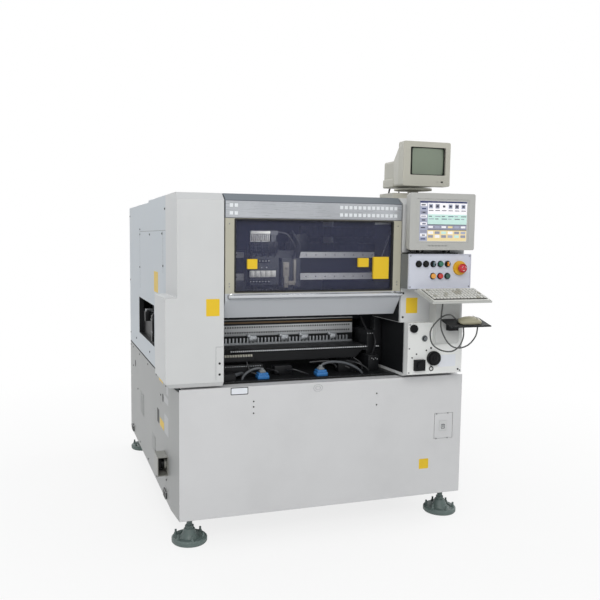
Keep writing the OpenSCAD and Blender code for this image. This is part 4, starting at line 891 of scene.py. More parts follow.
for i in range(6):
    x0 = columnEnd + 4 + step * i
    printBlock(bm, x0, x0 + step * 0.62, levels[0] - 24, levels[0] - 5, 0.7,
        (lavender, grey, pink, lavender, grey, lavender)[i])
    printBlock(bm, x0 + 4, x0 + step * 0.62 - 4, levels[0] - 19, levels[0] - 10, 0.9, dark)
    printBlock(bm, x0, x0 + step * 0.7, levels[0] - 34, levels[0] - 31, 0.7, dark)
    printBlock(bm, x0, x0 + step * (0.8 if i % 2 else 0.5), levels[1] - 10, levels[1] - 7, 0.7,
        (dark, grey, dark, navy, grey, dark)[i])
    printBlock(bm, x0, x0 + step * (0.5 if i % 2 else 0.8), levels[1] - 21, levels[1] - 18, 0.7,
        (grey, dark, navy, grey, dark, grey)[i])
    printBlock(bm, x0, x0 + step * 0.7, levels[2] - 14, levels[2] - 6, 0.7,
        (pink, lavender, pink, tan, lavender, pink)[i])
    printBlock(bm, x0, x0 + step * 0.74, levels[3] - 17, levels[3] - 6, 0.7,
        (pink, grey, mint, pink, grey, lavender)[i])
    printBlock(bm, x0, x0 + step * 0.74, levels[3] - 33, levels[3] - 22, 0.7,
        (grey, pink, grey, lavender, mint, grey)[i])
keep(bm, "screenFields", "touch_panel", ["printNavy", "printLavender", "printPink", "printMint", "printGrey",
    "printTan", "printDark"])
bm = bmesh.new()   # bezel lip round the glass, and front keys
frameRing(bm, roundRect(screenX[0] + 0.2, screenX[1] - 0.2, screenZ[0] + 0.2, screenZ[1] - 0.2, 4),
    roundRect(screenX[0] + 16, screenX[1] - 8, screenZ[0] + 5, screenZ[1] - 8, 2), "y", glass - 2.6, glass - 0.02)
for i in range(6):
    addBlock(bm, (lcdX[0] + 90 + 16 * i, lcdX[0] + 100 + 16 * i), (lcdY[0], lcdY[0] + 3),
        (screenZ[0] - 17, screenZ[0] - 12), 0.8)
keep(bm, "bezelLip", "touch_panel", "panelGrey")
bm = bmesh.new()
frameRing(bm, roundRect(lcdX[0] + 1.4, lcdX[1] - 1.4, screenZ[0] - 27 + 1.4, lcdHigh - 1.4, 8),
    roundRect(lcdX[0] + 3.2, lcdX[1] - 3.2, screenZ[0] - 27 + 3.2, lcdHigh - 3.2, 7), "y", lcdY[0] + 23.6,
    lcdY[0] + 25.2)
# the seam glows a little from its finish: painted glow
keep(bm, "housingSeam", "touch_panel", "printDark")
slots = [(lcdX[0] + 70 + 9 * i, lcdY[1] + 0.05, (lcdZ[0] + lcdZ[1]) / 2 + 45 - 30 * j) for i in range(20)
    for j in range(3)]
tiles("housingVents", "touch_panel", slots, back, 22, 3, 0.5, "screwRecess")
print("touch panel dressed")

# camera monitor
tubeX, tubeY, tubeZ = span("camera_monitor_housing")
midTube = (tubeX[0] + tubeX[1]) / 2
bm = bmesh.new()
addTurned(bm, [(0, 0), (7.5, 0), (7.5, 3), (6.4, 8), (5.6, 8.8), (0, 8.8)],
    (tubeX[1] - 17, tubeY[0] + 8.9, tubeZ[0] + 20), front, 28)
addBlock(bm, (tubeX[1] - 46, tubeX[1] - 33), (tubeY[0], tubeY[0] + 3), (tubeZ[0] + 15, tubeZ[0] + 24), 1.2)
addBlock(bm, (tubeX[1] - 66, tubeX[1] - 60), (tubeY[0], tubeY[0] + 3), (tubeZ[0] + 17, tubeZ[0] + 22), 0.8)
keep(bm, "tubeKnobs", "camera_monitor", "panelGrey")
(gx0, gx1), _, (gz0, gz1) = span("camera_monitor_screen")
bm = bmesh.new()   # bulged glass of the picture tube
grid, across, upward = [], 16, 12
for j in range(upward + 1):
    for i in range(across + 1):
        u, v = 2 * i / across - 1, 2 * j / upward - 1
        grid.append(bm.verts.new(at(gx0 + (gx1 - gx0) * i / across, tubeY[0] + 2 + 4.5 * (u * u + v * v),
            gz0 + (gz1 - gz0) * j / upward)))
for j in range(upward):
    for i in range(across):
        k = j * (across + 1) + i
        bm.faces.new([grid[k], grid[k + 1], grid[k + across + 2], grid[k + across + 1]])
rim = [e for e in bm.edges if e.is_boundary]
behind = bmesh.ops.extrude_edge_only(bm, edges=rim)["geom"]
for v in [g for g in behind if isinstance(g, bmesh.types.BMVert)]:
    v.co.y = at(0, tubeY[0] + 15, 0).y
bmesh.ops.holes_fill(bm, edges=[e for e in bm.edges if e.is_boundary], sides=0)
tubeFace = keep(bm, "tubeFace", "camera_monitor", "tubeGlass", smooth=50)
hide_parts("camera_monitor_screen")
bm = bmesh.new()
edgeFrame(bm, (gx0, gx1), (gz0, gz1), -0.1, 2.6, (5, 7), tubeY[0] + 1.2, tubeY[0] + 13)
keep(bm, "tubeReveal", "camera_monitor", "blackPlastic")
ventSlots = [(midTube - 58 + 9.6 * i, 95 + 26 * j, tubeZ[1] - 9.5 - 13.6 * j) for i in range(13) for j in range(3)]
slopeUp = (0, 0.42, 0.91)
tiles("tubeVents", "camera_monitor", ventSlots, slopeUp, 4, 20, 0.8, "screwRecess")
rearVents = [(midTube - 54 + 12 * i, tubeY[1], (tubeZ[0] + tubeZ[1]) / 2 + 10 - 22 * j) for i in range(10)
    for j in range(3)]
tiles("tubeRearVents", "camera_monitor", rearVents, back, 16, 3.2, 0.5, "screwRecess")
print("camera monitor dressed")

# keyboard
boardX = span("keyboard")[0]
slope = math.radians(15)
keySettings = {"middle": (boardX[0] + boardX[1]) / 2, "width": 281, "margin": 26, "columns": 16, "gap": 4.2,
    "fromHinge": -93.5, "rise": 17.4, "tilt": 3.2}
keyboardHinge, mouseHinge = (-96, 1056), (-84, 930)   # across and up, where each tray's slope starts


def onSlope(x, along, up, hinge=keyboardHinge):
    # a point on a tray that slopes down towards the operator
    return (x, hinge[0] + along * math.cos(slope) - up * math.sin(slope),
        hinge[1] + along * math.sin(slope) + up * math.cos(slope))


def keyTree():
    # a grid of tapered caps, a few of them wider and darker
    tree, source, out = newTree("keyRows", {"Columns": 16, "Rows": 5, "Pitch across": 0.016, "Pitch along": 0.021,
        "Cap width": 0.0135, "Cap depth": 0.017, "Cap height": 0.005})

    def reach(pitchLabel, countLabel):
        return times(tree, source.outputs[pitchLabel], times(tree, source.outputs[countLabel], 1, "SUBTRACT"))

    grid = node(tree, "GeometryNodeMeshGrid", {
        "Vertices X": source.outputs["Columns"], "Size X": reach("Pitch across", "Columns"),
        "Vertices Y": source.outputs["Rows"], "Size Y": reach("Pitch along", "Rows")})
    cone = node(tree, "GeometryNodeMeshCone", {"Vertices": 4, "Radius Top": 0.55, "Radius Bottom": 0.7071,
        "Depth": 1.0})
    square = node(tree, "GeometryNodeTransform", {"Geometry": cone.outputs["Mesh"],
        "Rotation": (0, 0, math.radians(45))})
    capSize = sizeFrom(tree, source, "Cap width", "Cap depth", "Cap height")
    cap = node(tree, "GeometryNodeTransform", {"Geometry": square.outputs["Geometry"],
        "Scale": capSize}).outputs["Geometry"]
    index = node(tree, "GeometryNodeInputIndex").outputs["Index"]
    chance = node(tree, "FunctionNodeRandomValue", data_type="BOOLEAN")
    fill(tree, chance, {"Probability": 0.1, "Seed": 4, "ID": index})
    split = node(tree, "GeometryNodeSeparateGeometry", {"Geometry": grid.outputs["Mesh"],
        "Selection": chance.outputs[3]}, domain="POINT")
    join = node(tree, "GeometryNodeJoinGeometry")
    for side, finish in (("Selection", "keyDark"), ("Inverted", "keyPlastic")):
        fill(tree, join, {"Geometry": spread(tree, split.outputs[side], [withMaterial(tree, cap, finish)])})
    fill(tree, out, {"Geometry": join.outputs["Geometry"]})
    return tree


pitch = (keySettings["width"] - keySettings["margin"]) / keySettings["columns"]
keys = grow(keyTree(), bpy.data.meshes.new("keyBase"), "keyboardKeys", "keyboard_shelf",
    {"Pitch across": pitch / 1000, "Cap width": (pitch - keySettings["gap"]) / 1000, "Cap depth": 0.0158,
    "Cap height": 0.0038})
middleKeys = at(*onSlope(keySettings["middle"], keySettings["fromHinge"], keySettings["rise"]))
keys.data.transform(Matrix.Translation(middleKeys) @ Matrix.Rotation(slope + math.radians(keySettings["tilt"]), 4,
    "X"))
bm = bmesh.new()
profile = [(-158, 3.3), (-159, 5), (-158, 10), (-155, 11.6), (-26, 18.2), (-21.5, 16.5), (-20, 13), (-20, 3.3)]
rows = [[bm.verts.new(at(*onSlope(x, a, u))) for a, u in profile]
    for x in (boardX[0] + 1.2, boardX[0] + 0.2, boardX[1] - 0.2, boardX[1] - 1.2)]
for p, q in zip(rows, rows[1:]):
    bridge(bm, p, q)
bm.faces.new(rows[0])
bm.faces.new(list(reversed(rows[-1])))
shell = keep(bm, "keyboardShell", "keyboard_shelf", "keyPlastic")
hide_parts("keyboard")
bm = bmesh.new()   # darker deck that shows between the caps
corners = [(x, a, 12.2 + (a + 155) * 0.0512 + up) for up in (-1.5, 0.6) for x,
    a in ((boardX[0] + 9, -150), (boardX[1] - 9, -150), (boardX[1] - 9, -38), (boardX[0] + 9, -38))]
deck = [bm.verts.new(at(*onSlope(x, a, u))) for x, a, u in corners]
for face in ((0, 1, 2, 3), (4, 5, 6, 7), (0, 1, 5, 4), (1, 2, 6, 5), (2, 3, 7, 6), (3, 0, 4, 7)):
    bm.faces.new([deck[i] for i in face])
keep(bm, "keyboardDeck", "keyboard_shelf", "keyDeck")
screws("trayHingeScrews", "machine", [(x, span("tray_post")[1][0] + 7.9, 1020) for x in (470, 565)],
    front, 4.5, 2.0)
print("keyboard keys set")

# mouse
mouseX = span("mouse")[0]
bm = bmesh.new()   # rounded body lofted from cross sections along its length
stations = [(0.0, 0.0, 0.0), (0.03, 0.55, 0.45), (0.12, 0.82, 0.72), (0.3, 0.95, 0.93), (0.5, 1.0, 1.0),
    (0.7, 0.98, 0.92), (0.88, 0.86, 0.7), (0.97, 0.6, 0.42), (1.0, 0.0, 0.0)]
x0, x1 = mouseX[0] + 1, mouseX[1] - 1
halfDepth, tall = 27.0, 27.0
loops = []
for t, wide, high in stations:
    x = x0 + (x1 - x0) * t
    if wide == 0:
        loops.append([bm.verts.new(at(*onSlope(x, -50, 6, mouseHinge)))])
        continue
    ring = []
    for k in range(20):
        turn = math.tau * k / 20
        across, up = math.cos(turn), math.sin(turn)
        up = max(up, -0.25)
        ring.append(bm.verts.new(at(*onSlope(x, -50 + halfDepth * wide * across,
            0.6 + max(0.0, tall * high * (up + 0.25) / 1.25), mouseHinge))))
    loops.append(ring)
for a, b in zip(loops, loops[1:]):
    bridge(bm, a, b)
mouseBody = keep(bm, "mouseBody", "machine", "mousePlastic", smooth=60)
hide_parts("mouse")
bm = bmesh.new()
addTube(bm, [onSlope(x1 - 30, -50 + 22 * k / 4, 22 + 2.2 * (1 - (k / 4) ** 2), mouseHinge) for k in range(-4, 5)],
    0.7, 6, 2)
addTube(bm, [onSlope(x1 - 30 + 6 * k, -50, 24.5 - 0.9 * k * k * 0.55, mouseHinge) for k in range(0, 5)], 0.7, 6, 2)
# the key lines glow a little from their finish: painted glow
keep(bm, "mouseKeyLines", "machine", "printDark")
print("mouse shaped")

# feeder bay
bankX, bankY, _ = span("feeder_bank")
combX, combY, combZ = span("feeder_comb")
bedTop = span("machine_bed")[2][0] + 21
bankTop = combZ[0]
stripFace = combY[1] - 4
baySettings = {"clampAt": (-255, -101, -2, 143), "clampWidth": 36, "dashPitch": 11.5, "scaleHeight": 777}
bm = bmesh.new()   # dark backing behind the teeth, and dark linings of the bay's side walls
addBlock(bm, (combX[0] + 1, combX[1] - 1), (stripFace - 0.9, stripFace - 0.1), (bankTop + 1, bankTop + 40))
addBlock(bm, (combX[0] + 1, combX[1] - 1), (stripFace - 1.2, stripFace - 0.1), (bankTop + 89, bankTop + 117.6))
addBlock(bm, (rightX[0] + 26 - 0.9, rightX[0] + 26 - 0.05), (-12, 242), (bedTop + 14, 912))
addBlock(bm, (rightX[0] - 0.9, rightX[0] - 0.05), (-12, 242), (914, 1340))
addBlock(bm, (rightX[0] + 1, rightX[0] + 25), (-12, 242), (911.2, 912.8))
addBlock(bm, (leftX[1] + 0.05, leftX[1] + 0.9), (-12, 242), (bedTop + 14, 1340))
for x0, x1 in ((-639.2, -638.4), (638.4, 639.2)):   # inner linings of the side covers round the board openings
    addBlock(bm, (x0, x1), (250, 576), (bedTop + 1, 1425))
    addBlock(bm, (x0, x1), (1123, 1500), (bedTop + 1, 1425))
    addBlock(bm, (x0, x1), (576, 1123), (bedTop + 1, 750))
    addBlock(bm, (x0, x1), (576, 1123), (952, 1425))
addBlock(bm, (-637, 637), (270, 1270), (1424.6, 1425.8))
keep(bm, "bayLinings", "machine", "blackPaint")
bm = bmesh.new()   # light face of the guide strips, between the dark bands
addBlock(bm, (combX[0] + 1, combX[1] - 1), (stripFace - 0.9, stripFace - 0.1), (bankTop + 40.5, bankTop + 88.5),
    0.2)
addBlock(bm, (combX[0] + 1, combX[1] - 1), (stripFace - 3.0, stripFace - 0.4), (bankTop + 112.4, bankTop + 115),
    0.4)
keep(bm, "stripFaces", "machine", "stripPale")
dashes = [(combX[0] + 8 + baySettings["dashPitch"] * i, stripFace - 1.1, z)
    for i in range(int((combX[1] - combX[0] - 12) / baySettings["dashPitch"]))
    for z in (bankTop + 55, bankTop + 79)]
tiles("stripPerforations", "machine", dashes, front, 6.0, 7.4, 0.6, "screwRecess")
dots = [(combX[0] + 8 + 8.5 * i, combY[0] - 6, bankTop + 0.3) for i in range(int((combX[1] - combX[0] - 12) / 8.5))]
tiles("bankDots", "machine", dots, upWay, 3.4, 3.4, 0.8, "railAlloy", round=True)
bm = bmesh.new()   # clamps set among the teeth, and the warm strip along the wall's top
for x in baySettings["clampAt"]:
    w = baySettings["clampWidth"] / 2
    addBlock(bm, (x - w, x + w), (combY[0] - 7, combY[1] - 3.5), (bankTop + 14, bankTop + 40), 2)
    addBlock(bm, (x - w - 9, x - w + 5), (combY[0] - 9, combY[1] - 3.5), (bankTop + 34, bankTop + 46), 1.5)
    addTurned(bm, [(0, 0), (5, 0), (5, 5), (3.4, 6), (0, 6)], (x + 6, combY[0] - 7, bankTop + 26), front, 18)
keep(bm, "stripClamps", "machine", "railAlloy")
bm = bmesh.new()
addBlock(bm, (bankX[0] + 2, bankX[1] - 2), (stripFace - 2.6, stripFace - 0.6), (bankTop + 97, bankTop + 104), 0.6)
keep(bm, "wallTopStrip", "machine", "brownEdge")
bm = bmesh.new()   # carrier of the scale, and the connector shelf at the left
addBlock(bm, (-392, 326), (bankY[0] - 4, bankY[0] + 1), (769, 783), 1)
addBlock(bm, (bankX[1] - 4, 326), (bankY[0] - 4, bankY[0] + 40), (760, 783), 2)
addBlock(bm, (-446, -300), (140, bankY[0] + 0.5), (741, 761), 1.5)
addBlock(bm, (-474, -256), (146, 196), (672, 726), 3)
addBlock(bm, (-474, -400), (62, 128), (672, 704), 6)
addBlock(bm, (254, 306), (150, 330), (672, 742), 3)
addBlock(bm, (262, 300), (190, 330), (742, 852), 3)
addBlock(bm, (300, 338), (196, 236), (700, 905), 2)
addBlock(bm, (-200, -120), (150, 200), (672, 712), 2)
addBlock(bm, (100, 190), (140, 190), (672, 720), 2)
keep(bm, "bayBoxes", "machine", "blackPaint")
marks = [(-388 + 9.2 * i, bankY[0] - 4.2, baySettings["scaleHeight"]) for i in range(78)]
tiles("scaleMarks", "machine", marks, front, 5.4, 5.0, 0.8, "printWhite")
sockets = [(-437 + 11.6 * i, 150, 765) for i in range(12)]
tiles("feederSockets", "machine", sockets, upWay, 7.4, 13, 9, "keyDark")
pins = [(-466 + 10.4 * i, 145.8, 719) for i in range(20)] + [(270 + 9 * i, 149.8, 728 - 5 * (i % 2))
    for i in range(4)] + [(266 + 12 * i, 189.8, 838) for i in range(3)]
tiles("plugDots", "machine", pins, front, 3.6, 3.6, 0.8, "printWhite", round=True)

bm = bmesh.new()   # hose couplers: blue shells with grey bodies on top
couplerX = (-275, -5)
for x in couplerX:
    addBlock(bm, (x - 25.5, x + 25.5), (72.5, 117.5), (bedTop + 0.1, bedTop + 17), 3)
    addBlock(bm, (x - 22, x + 22), (75, 115), (bedTop + 16, bedTop + 27), 3)
shell = keep(bm, "couplerShells", "machine", "hoseBlue")
bm = bmesh.new()
for x in couplerX:
    addBlock(bm, (x - 15, x + 13), (80, 110), (bedTop + 26, bedTop + 36), 4)
    addTurned(bm, [(0, 0), (13, 0), (12, 5), (8, 7), (8, 12), (6, 13), (0, 13)], (x - 1, 95, bedTop + 33.5), upWay,
        24)
keep(bm, "couplerBodies", "machine", "frameGrey")
bm = bmesh.new()
addTube(bm, [(-5, 95, bedTop + 38), (4, 95, bedTop + 49), (30, 95, bedTop + 57), (63, 95, bedTop + 58),
    (110, 95, bedTop + 51), (155, 95, bedTop + 33), (186, 95, bedTop + 12), (198, 95, bedTop - 4)], 5.5, 12, 5)
addTube(bm, [(-277, 95, bedTop + 38), (-284, 95, bedTop + 44), (-300, 95, bedTop + 45), (-322, 95, bedTop + 40),
    (-345, 95, bedTop + 28), (-360, 95, bedTop + 12), (-366, 95, bedTop - 4)], 5.5, 12, 5)
addTube(bm, [(-470, 70, bedTop + 8), (-420, 78, bedTop + 18), (-380, 110, bedTop + 20), (-350, 150, bedTop + 16)],
    8, 12, 5)
keep(bm, "couplerHoses", "machine", "hoseGrey")
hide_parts("pneumatic_couplers")
bm = bmesh.new()   # fixed wiring under and beside the bank
wiring = [[(-150, 150, 690), (-130, 110, 702), (-90, 100, 690), (-60, 108, 678)],
    [(-20, 190, 715), (60, 160, 722), (120, 150, 705), (150, 130, 690)],
          [(150, 165, 720), (190, 120, 712), (226, 110, 690), (236, 112, 676)],
          [(200, 200, 725), (230, 180, 700), (222, 150, 676)],
          [(-230, 170, 700), (-200, 120, 695), (-180, 140, 676)],
          [(280, 170, 742), (286, 150, 800), (300, 200, 850), (316, 215, 900)],
          [(266, 200, 852), (262, 240, 890), (280, 300, 905), (306, 320, 880)],
          [(40, 196, 712), (90, 175, 706), (100, 165, 690)],
          [(-440, 150, 741), (-452, 120, 715), (-440, 100, 704)],
          [(-330, 150, 741), (-320, 128, 700), (-300, 118, 690), (-290, 110, 676)]]
for points in wiring:
    addTube(bm, points, 4, 8, 6)
keep(bm, "bayWiring", "machine", "wireBlack")
print("feeder bay filled")

# gantry and head
beamTop = span("moving_beam")[2][1]
guideFace = 438
bm = bmesh.new()   # light cover strips behind the two guides, brightened by a painted glow in their finish
for low, high in ((1181, 1209), (1075, 1107)):
    addBlock(bm, (-520, 520), (guideFace - 0.25, guideFace + 0.2), (low, high))
keep(bm, "guideStrips", "beam", "brightStrip")
guideBolts = [(-500 + 50 * i, guideFace - 0.25, z) for i in range(21) for z in (1195, 1090)]
screws("guideBolts", "beam", guideBolts, front, 3.4, 0.5, socketScrews)
bm = bmesh.new()
addBlock(bm, (-560, 560), (guideFace + 21.2, guideFace + 22.2), (1118, 1160), 0.3)
keep(bm, "beamRecess", "beam", "blackPaint")
bm = bmesh.new()
addBlock(bm, (-20.5, 2), (406, guideFace - 0.8), (1066, 1212), 2)
keep(bm, "headEndPlate", "head", "blackPaint")
bm = bmesh.new()
addBlock(bm, (-520, 520), (guideFace + 20.6, guideFace + 22.2), (1163, 1166.4), 0.3)
keep(bm, "beamCoverEdge", "beam", "ribAlloy")


def chainTree():
    # links of a cable chain, set along a line
    tree, source, out = newTree("cableChain", {"Link length": 0.03, "Link height": 0.026, "Link width": 0.05,
        "Pitch": 0.032})
    curve = node(tree, "GeometryNodeMeshToCurve", {"Mesh": source.outputs["Geometry"]}).outputs["Curve"]
    points = node(tree, "GeometryNodeCurveToPoints", {"Curve": curve, "Length": source.outputs["Pitch"]},
        mode="LENGTH")
    link = node(tree, "GeometryNodeMeshCube", {"Size": sizeFrom(tree, source, "Link height", "Link width",
        "Link length")})
    depth = times(tree, source.outputs["Link width"], 1.06)
    pin = node(tree, "GeometryNodeMeshCylinder", {"Vertices": 10, "Radius": 0.005, "Depth": depth})
    turn = node(tree, "GeometryNodeTransform", {"Geometry": pin.outputs["Mesh"],
        "Rotation": (math.radians(90), 0, 0)})
    parts = [withMaterial(tree, link.outputs["Mesh"], "blackPlastic"),
        withMaterial(tree, turn.outputs["Geometry"], "wireGrey")]
    fill(tree, out, {"Geometry": spread(tree, points.outputs["Points"], parts, points.outputs["Rotation"])})
    return tree


def lineMesh(name, points):
    mesh = bpy.data.meshes.new(name)
    mesh.from_pydata([at(*p) for p in points], [(i, i + 1) for i in range(len(points) - 1)], [])
    return mesh


beamRoute = smoothRoute([(-20, 520, beamTop + 16), (200, 520, beamTop + 16), (480, 520, beamTop + 16),
    (540, 520, beamTop + 32), (548, 520, beamTop + 60), (520, 520, beamTop + 88), (460, 520, beamTop + 96),
    (240, 520, beamTop + 96), (60, 520, beamTop + 96)], 4)
grow(chainTree(), lineMesh("beamChainLine", beamRoute), "beamCableChain", "beam")
bm = bmesh.new()   # open channel that carries the chain on the beam
addBlock(bm, (-60, 560), (488, 552), (beamTop + 0.3, beamTop + 3.0), 0.8)
addBlock(bm, (20, 80), (494, 546), (beamTop + 3, beamTop + 84), 2)
keep(bm, "chainChannel", "beam", "beamAlloy")

spindleX = [sum(span("nozzle_%d" % i)[0]) / 2 for i in (1, 2, 3, 4)]
headFront = span("placement_head")[1][0]
bm = bmesh.new()   # white valve block with its row of teeth at the head's top, brightened by a painted glow in its finish
addBlock(bm, (-270, -176), (304, 316), (1291, 1306), 3)
addBlock(bm, (-270, -178), (308, 316), (1256, 1260), 1)
for i in range(10):
    addBlock(bm, (-269 + 9.6 * i, -264.8 + 9.6 * i), (309.5, 316), (1260, 1291), 0.6)
keep(bm, "valveComb", "head", "headWhite")
bm = bmesh.new()
for j in range(3):
    for i in range(9):
        addBlock(bm, (-266 + 9.8 * i, -260 + 9.8 * i), (300 + 2 * j, 316), (1214 + 14 * j, 1223 + 14 * j), 1)
addBlock(bm, (-264, -138), (306, 318), (1206, 1258), 2)
addBlock(bm, (-271, -176), (315, 319), (1258, 1292), 0.5)
addBlock(bm, (-273, -262), (306, 340), (1150, 1250), 2)
keep(bm, "headWiring", "head", "blackPaint")
bm = bmesh.new()   # five light blocks over the spindles, brightened by the same painted glow
for i in range(5):
    addBlock(bm, (-273 + 25.6 * i, -250 + 25.6 * i), (304, 316), (1096, 1126), 2.5)
    addBlock(bm, (-269 + 25.6 * i, -254 + 25.6 * i), (301, 305), (1102, 1120), 1.5)
keep(bm, "headBlocks", "head", "headWhite")
bm = bmesh.new()   # bracket and arm between the head and the guides
addBlock(bm, (-108, -78), (318, 329), (1096, 1164), 3)
addBlock(bm, (-104, -82), (316, 330), (1046, 1100), 3)
addBlock(bm, (-84, -50), (312, 322), (1058, 1078), 2)
addBlock(bm, (-58, -46), (314, 330), (1066, 1176), 2)
addTurned(bm, [(0, 0), (7, 0), (7, 3), (5, 4), (0, 4)], (-93, 318, 1140), front, 18)
addTurned(bm, [(0, 0), (5, 0), (5, 3), (3.5, 4), (0, 4)], (-93, 316, 1068), front, 18)
keep(bm, "headArm", "head", "armGrey")
headDots = [(-266 + 14.4 * i, headFront - 1.2, z) for i in range(7)
    for z in (1170, 1076)] + [(-262 + 24 * i, headFront - 1.2, 1140) for i in range(4)]
bm = bmesh.new()
addBlock(bm, (-273, -174), (headFront - 1, headFront + 1), (1162, 1178), 0.5)
addBlock(bm, (-273, -174), (headFront - 1, headFront + 1), (1068, 1084), 0.5)
addBlock(bm, (-273, -264), (headFront, 350), (1090, 1130), 2)
addBlock(bm, (-266, -134), (headFront - 6, headFront + 0.5), (1044, 1062), 2)
keep(bm, "headRails", "head", "blackPaint")
tiles("headLamps", "head", headDots, front, 5.4, 5.4, 1.2, "printWhite", round=True)
bm = bmesh.new()   # ring light under the camera tube and pressed-air lines to the spindles
addTurned(bm, [(22.3, 0), (31, 0), (31, 12), (28, 14), (22.3, 14)], (-66, 350, 1012), upWay, 36)
for i, x in enumerate(spindleX):
    addTube(bm, [(x, 312, 1190), (x + 2, 300, 1200), (x - 6, 292, 1226), (x - 12 + 4 * i, 300, 1262)], 2.4, 8, 5)
addTube(bm, [(-60, 330, 1180), (-52, 316, 1230), (-90, 320, 1290), (-140, 330, 1302)], 5, 10, 6)
addTube(bm, [(-30, 336, 1180), (-24, 330, 1240), (-52, 350, 1300), (-44, 390, 1302), (-40, 420, 1290),
    (-40, 428, 1200)], 6, 10, 6)
keep(bm, "headLines", "head", "wireBlack")
for i in (1, 2, 3, 4):
    x, y = spindleX[i - 1], sum(span("nozzle_%d" % i)[1]) / 2
    low = span("nozzle_%d" % i)[2][0]
    bm = bmesh.new()   # light disc behind the tip and a knurled collar
    addTurned(bm, [(5.1, 0), (9, 0), (9.4, 0.6), (9.4, 1.6), (5.1, 2)], (x, y, low + 15), upWay, 28)
    addTurned(bm, [(5.2, 5), (7.2, 5), (7.6, 6), (7.6, 9), (7.2, 10), (5.2, 10)], (x, y, low + 12), upWay, 18)
    keep(bm, "nozzleCollar%d" % i, "spindle_%d" % i, "capBlack" if i % 2 else "brassYellow")
print("gantry and head fitted")

# conveyor
movingY = span("conveyor_moving_rail")[1]
passHeight = span("conveyor_fixed_rail")[2][1] - 5
for name, body, y0, y1 in (("frontBelt", "machine", 609.6, 614.6),
        ("rearBelt", "rear_rail", movingY[0] + 0.4, movingY[0] + 5.4)):
    bm = bmesh.new()
    frameRing(bm, roundRect(-662.4, 662.4, passHeight - 14, passHeight - 1.6, 5),
        roundRect(-661.2, 661.2, passHeight - 12.2, passHeight - 3.4, 4), "y", y0, y1)
    keep(bm, name, body, "beltDark")
railBolts = [(-600 + 100 * i, 585, 882) for i in range(13)]
screws("frontRailBolts", "machine", railBolts, front, 4, 2.6, socketScrews)
screws("rearRailBolts", "rear_rail", [(-600 + 100 * i, movingY[0] + 30, 882) for i in range(13)
    if abs(abs(-600 + 100 * i) - 450) > 40], back, 4, 2.6, socketScrews)
bm = bmesh.new()   # board sensors and wires at the inlet
addBlock(bm, (-660, -622), (560, 584), (884, 912), 2)
addBlock(bm, (-658, -630), (566, 580), (912, 930), 3)
addBlock(bm, (-656, -640), (584, 610), (914, 922), 1.5)
addTube(bm, [(-640, 572, 930), (-634, 582, 944), (-630, 596, 944), (-636, 604, 930), (-642, 606, 904)], 3, 8, 5)
addTube(bm, [(-650, 570, 930), (-640, 578, 938), (-636, 588, 940), (-632, 596, 900)], 2.5, 8, 5)
keep(bm, "inletSensors", "machine", "blackPlastic")
print("conveyor fitted")

# board openings in the side covers
openY, openZ = (578.5, 1120.5), (752.5, 949.5)
for name, outer, inner, way in (("leftInlet", sideX[0] + 0.4, sideX[0] + 25.6, -1),
        ("rightOutlet", rightSideX[1] - 0.4, rightSideX[1] - 25.6, 1)):
    bm = bmesh.new()   # dark reveal of the opening and the blind plate below the board's way
    a, b = min(outer, inner), max(outer, inner)
    for ys, zs in (((openY[0], openY[1]), (openZ[0], openZ[0] + 0.8)),
            ((openY[0], openY[1]), (openZ[1] - 0.8, openZ[1])), ((openY[0], openY[0] + 0.8), openZ),
            ((openY[1] - 0.8, openY[1]), openZ)):
        addBlock(bm, (a, b), ys, zs)
    far = inner - way * 1.2
    addBlock(bm, (min(inner, far), max(inner, far)), openY, (openZ[0], 884))
    keep(bm, name + "Reveal", "machine", "blackPaint")
    bm = bmesh.new()   # rail end blocks, motors and sensor holders that look out of the opening
    x0, x1 = sorted((outer + way * 8, inner))
    addBlock(bm, (x0, x1), (592, 632), (800, 900), 3)
    addBlock(bm, (x0 + 4, x1 - 2), (626, 664), (770, 842), 3)
    addBlock(bm, (x0 + 2, x1 - 4), (598, 616), (900, 906), 2)
    addTurned(bm, [(0, -2), (12, -2), (12, 8), (9, 10), (0, 10)], ((x0 + x1) / 2, 646, 802), (way, 0, 0), 24)
    keep(bm, name + "Blocks", "machine", "blackPlastic")
    bm = bmesh.new()   # end block of the rail that moves
    addBlock(bm, (x0 + 2, x1 - 2), (838, 872), (846, 896), 3)
    keep(bm, name + "EndBlock", "rear_rail", "blackPlastic")
    bm = bmesh.new()
    mid = (x0 + x1) / 2
    addTube(bm, [(mid, 612, 903), (mid + 2, 613, 922), (mid, 606, 940), (mid - 2, 594, 944), (mid, 585, 934),
        (mid, 584, 900)], 2.6, 8, 5)
    addTube(bm, [(mid - 4, 606, 903), (mid - 3, 608, 918), (mid - 2, 600, 930), (mid, 590, 926),
        (mid + 2, 588, 904)], 2.2, 8, 5)
    addTube(bm, [(mid + 3, 604, 903), (mid + 4, 598, 912), (mid + 2, 590, 914), (mid, 584, 906)], 2.2, 8, 5)
    keep(bm, name + "Wires", "machine", "wireGrey")
    sockets = [(outer + way * 8.2, y, z) for y, z in ((600, 880), (624, 880), (600, 820), (624, 820))]
    screws(name + "Screws", "machine", sockets, (way, 0, 0), 3.2, 1.4, socketScrews)
print("board openings dressed")

